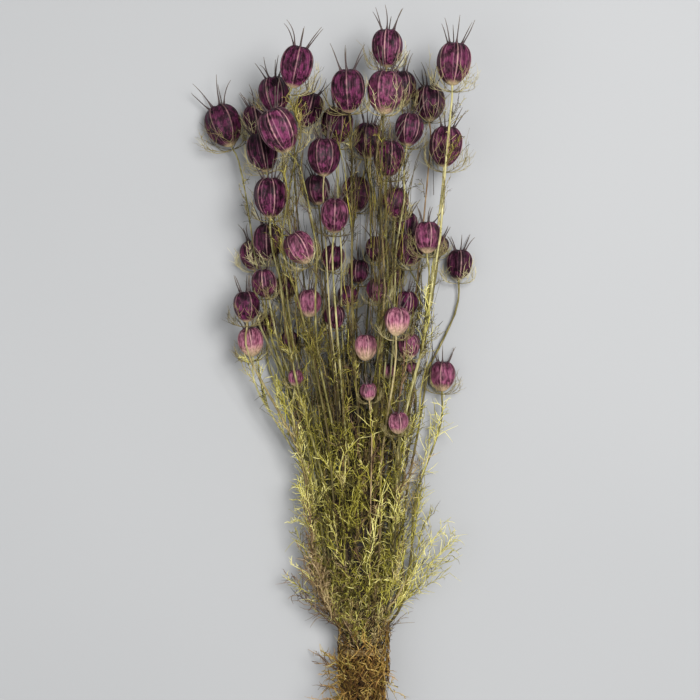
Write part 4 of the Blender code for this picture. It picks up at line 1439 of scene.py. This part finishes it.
def wrapped_leaves(piece, keep, rng):
    """Withered leaves that run along and round the cut ends, in layers."""
    t = np.linspace(0, 1, BASE_POINTS)
    for count, radii, wander, lengths, reach in BASE_LAYERS:
        angle = rng.uniform(0, 2 * math.pi, count)
        out = rng.uniform(*radii, count) * MM
        y = rng.uniform(*reach, count) * MM
        length = rng.uniform(*lengths, count) * MM
        along = rng.uniform(0.3, 1, count) * rng.choice((-1, 1), count)
        turn = rng.normal(size=count) * 0.45
        ripple = np.sin(t * rng.uniform(4, 11, (count, 1)) + rng.uniform(0, 6, (count, 1)))
        place = angle[:, None] + turn[:, None] * t + 0.14 * ripple
        far = out[:, None] + rng.normal(size=(count, 1)) * wander * MM * t**1.5 + 0.5 * MM * ripple
        far = np.clip(far, *BASE_RADII)
        step = y[:, None] + along[:, None] * length[:, None] * t
        paths = np.stack((far * np.cos(place), step, TIE_HEIGHT + far * np.sin(place)), axis=-1)
        paths[..., 1] = np.maximum(paths[..., 1], CUT_END_Y - 0.6 * MM)
        paths[..., 2] = np.maximum(paths[..., 2], 0.4 * MM)
        paths = paths[keep(paths)]
        count = len(paths)
        shade = np.clip(rng.normal(0.5, 0.28, count), 0.02, 1)
        thick = np.interp(t, *BASE_TAPER) * MM * rng.uniform(0.7, 1.3, (count, 1))
        piece.add_tubes(paths, thick, THREAD_SIDES, shade=shade, brown=rng.uniform(0.65, 1, count))


def wisps(piece, keep, rng):
    """Loose leaves that stand out of the brown ones, most of them at the left."""
    count = BASE_WISPS
    side = rng.uniform(size=count)
    left = math.pi + rng.normal(size=count) * 0.55
    angle = np.where(side < WISPS_AT_LEFT, left, rng.uniform(-0.4, 1.4, count))
    away = np.column_stack((np.cos(angle), np.zeros(count), np.abs(np.sin(angle))))
    root = away * WISP_ROOT + np.array((0, 0, TIE_HEIGHT))
    root[:, 1] = rng.uniform(*WISP_Y, count) * MM
    aim = direction(away + np.outer(rng.uniform(-0.9, 1.1, count), (0, 1, 0)))
    aim = aim * rng.uniform(*WISP_LENGTH, (count, 1)) * MM
    bend = rng.normal(size=aim.shape) * 3 * MM
    shade = rng.uniform(0.3, 0.9, count)
    brown = rng.uniform(0.5, 1, count)
    feathery(piece, keep, rng, (root, aim, bend), WISP_LEAFLETS, shade, brown)


def brown_tangle(leaves, rng):
    """Withered brown leaves wrapped round the cut ends, with loose wisps and some over the tie."""
    piece = Piece("base_leaves")
    keep = Kept([])
    wrapped_leaves(piece, keep, rng)
    shade, brown = np.full(len(leaves), 0.5), np.full(len(leaves), 0.9)
    feathery(piece, keep, rng, through(leaves), BASE_LEAFLETS, shade, brown)
    wisps(piece, keep, rng)
    return piece


def tie_strands():
    """The tie: three twisted strands of plant fibre, wound side by side."""
    piece = Piece("binding_strands")
    t = np.linspace(0, 1, STRAND_POINTS)
    angle = 2 * math.pi * t
    ring = TIE_INNER_RADIUS + TIE_THICKNESS / 2
    wind_out, wind_along = PLY_OUT
    for strand in (-1, 0, 1):
        for ply in range(2):
            twist = 2 * math.pi * (TWISTS * t + ply / 2) + strand
            out = ring + wind_out * np.cos(twist)
            y = strand * STRAND_PITCH + wind_along * np.sin(twist)
            y = y + STRAND_SWAY * np.sin(2 * angle + strand)
            path = np.column_stack((out * np.cos(angle), y, TIE_HEIGHT + out * np.sin(angle)))
            tone = np.clip(0.45 + 0.12 * ply + 0.1 * np.sin(3 * angle + strand), 0, 1)
            piece.add_tubes(path[None], PLY_RADIUS, PLY_SIDES, shade=tone[None], brown=0.15)
    return piece


def floor():
    """The pale surface that the bunch lies on."""
    mesh = bpy.data.meshes.new("surface")
    sides = ((-1, -1), (1, -1), (1, 1), (-1, 1))
    corners = [(x * FLOOR_HALF_WIDTH, y * FLOOR_HALF_WIDTH, -FLOOR_DROP) for x, y in sides]
    mesh.from_pydata(corners, [], [(0, 1, 2, 3)])
    look = Look("surface", 0.9, 0.2)
    mesh.materials.append(look.colour(look.ramp(look.noise(0.4, 2), *FLOOR_TONES)))
    placed("surface", mesh)


def light(name, place, size, power):
    """A square lamp that shines at the middle of the view."""
    lamp = bpy.data.lights.new(name, "AREA")
    lamp.size = size
    lamp.energy = power
    made = placed(name, lamp)
    made.location = place
    made.rotation_mode = "QUATERNION"
    made.rotation_quaternion = (Vector(VIEW_CENTRE) - Vector(place)).to_track_quat("-Z", "Y")


def studio():
    """The surface, the lights and the camera, which looks straight down."""
    floor()
    for row in LIGHTS:
        light(*row)
    world = bpy.data.worlds.new("studio")
    world.use_nodes = True
    sky = world.node_tree.nodes["Background"]
    sky.inputs["Color"].default_value = SKY_COLOUR
    sky.inputs["Strength"].default_value = SKY_STRENGTH
    bpy.context.scene.world = world
    bpy.context.scene.view_settings.view_transform = "Standard"
    lens = bpy.data.cameras.new("camera")
    lens.angle = 2 * math.atan(VIEW_WIDTH / 2 / VIEW_DISTANCE)
    camera = placed("camera", lens)
    camera.location = Vector(VIEW_CENTRE) + Vector((0, 0, VIEW_DISTANCE))
    bpy.context.scene.camera = camera


def lay_out():
    """The heads, stems, horns and leaves where the solids have them, from the same draws."""
    draw = random.Random(SEED)
    heads = [Head(number, row, draw) for number, row in enumerate(HEADS, 1)]
    settle(heads)
    places = bundle_places(heads)
    stems = [stem_path(head, place, heads, draw) for head, place in zip(heads, places)]
    straight = [thinned(path, STEM_TOLERANCE) for path in stems]
    room = Room(heads, straight)
    horns = {head.name: horn_paths(head, room, draw) for head in heads}
    pass_over(draw, BRACT_DRAWS * len(heads))
    leaves = fronds(straight, room, draw)
    return heads, stems, horns, leaves, dry_fronds(draw)


def tone_heads(heads, rng):
    """Settles how pink and creamy each pod is, how much painted shade darkens it for its layer, and
    whether threads may lie over it.
    """
    for number, head in enumerate(heads, 1):
        pink = PINKER.get(number, 0.0)
        layer = HEADS[number - 1][2]
        head.pinkness = pink + 0.15 * rng.uniform()
        head.cream_from = 0.8 - 0.85 * pink + 0.1 * rng.uniform()
        head.seam = min(1, rng.uniform(0.45, 0.95) + 0.2 * pink)
        head.bare = rng.uniform() < CLEAR_BY_LAYER[layer] or pink > CLEAR_FROM_PINK
        # painted shade: the lower the pod's layer, the darker it is
        head.dark = max(0, PAINTED_SHADE_BY_LAYER[layer] + rng.uniform(-0.15, 0.15) - pink)


def main():
    heads, stems, horns, leaves, brown_leaves = lay_out()
    rng = np.random.default_rng(SEED)
    tone_heads(heads, rng)
    stem_look = plant_look("stem", STEM_TONES, BROWN_TONES, 1.2 * MM)
    leaf_look = plant_look("leaf", LEAF_TONES, BROWN_TONES, 2 * MM)
    base_look = plant_look("dry_leaf", LEAF_TONES, BASE_TONES, 2 * MM)
    bract_look = plant_look("bract", BRACT_TONES, BROWN_TONES, 1.5 * MM)
    fibre_look = plant_look("fibre", FIBRE_TONES, BROWN_TONES, 0.6 * MM)
    pods(heads, horns, rng)
    stem_tubes(heads, stems, rng).build([stem_look], "green", "leafy_stems")
    for piece in foliage(heads, stems, leaves, rng):
        piece.build([leaf_look], "green", "leafy_stems")
    bract_cups(heads, rng).build([bract_look], "green", "leafy_stems")
    painted_shade_core(stems).build([leaf_look], "green", "leafy_stems")
    brown_tangle(brown_leaves, rng).build([base_look], "dry_leaf", "dry_base_leaves")
    tie_strands().build([fibre_look], "tie", "tie")
    studio()


main()
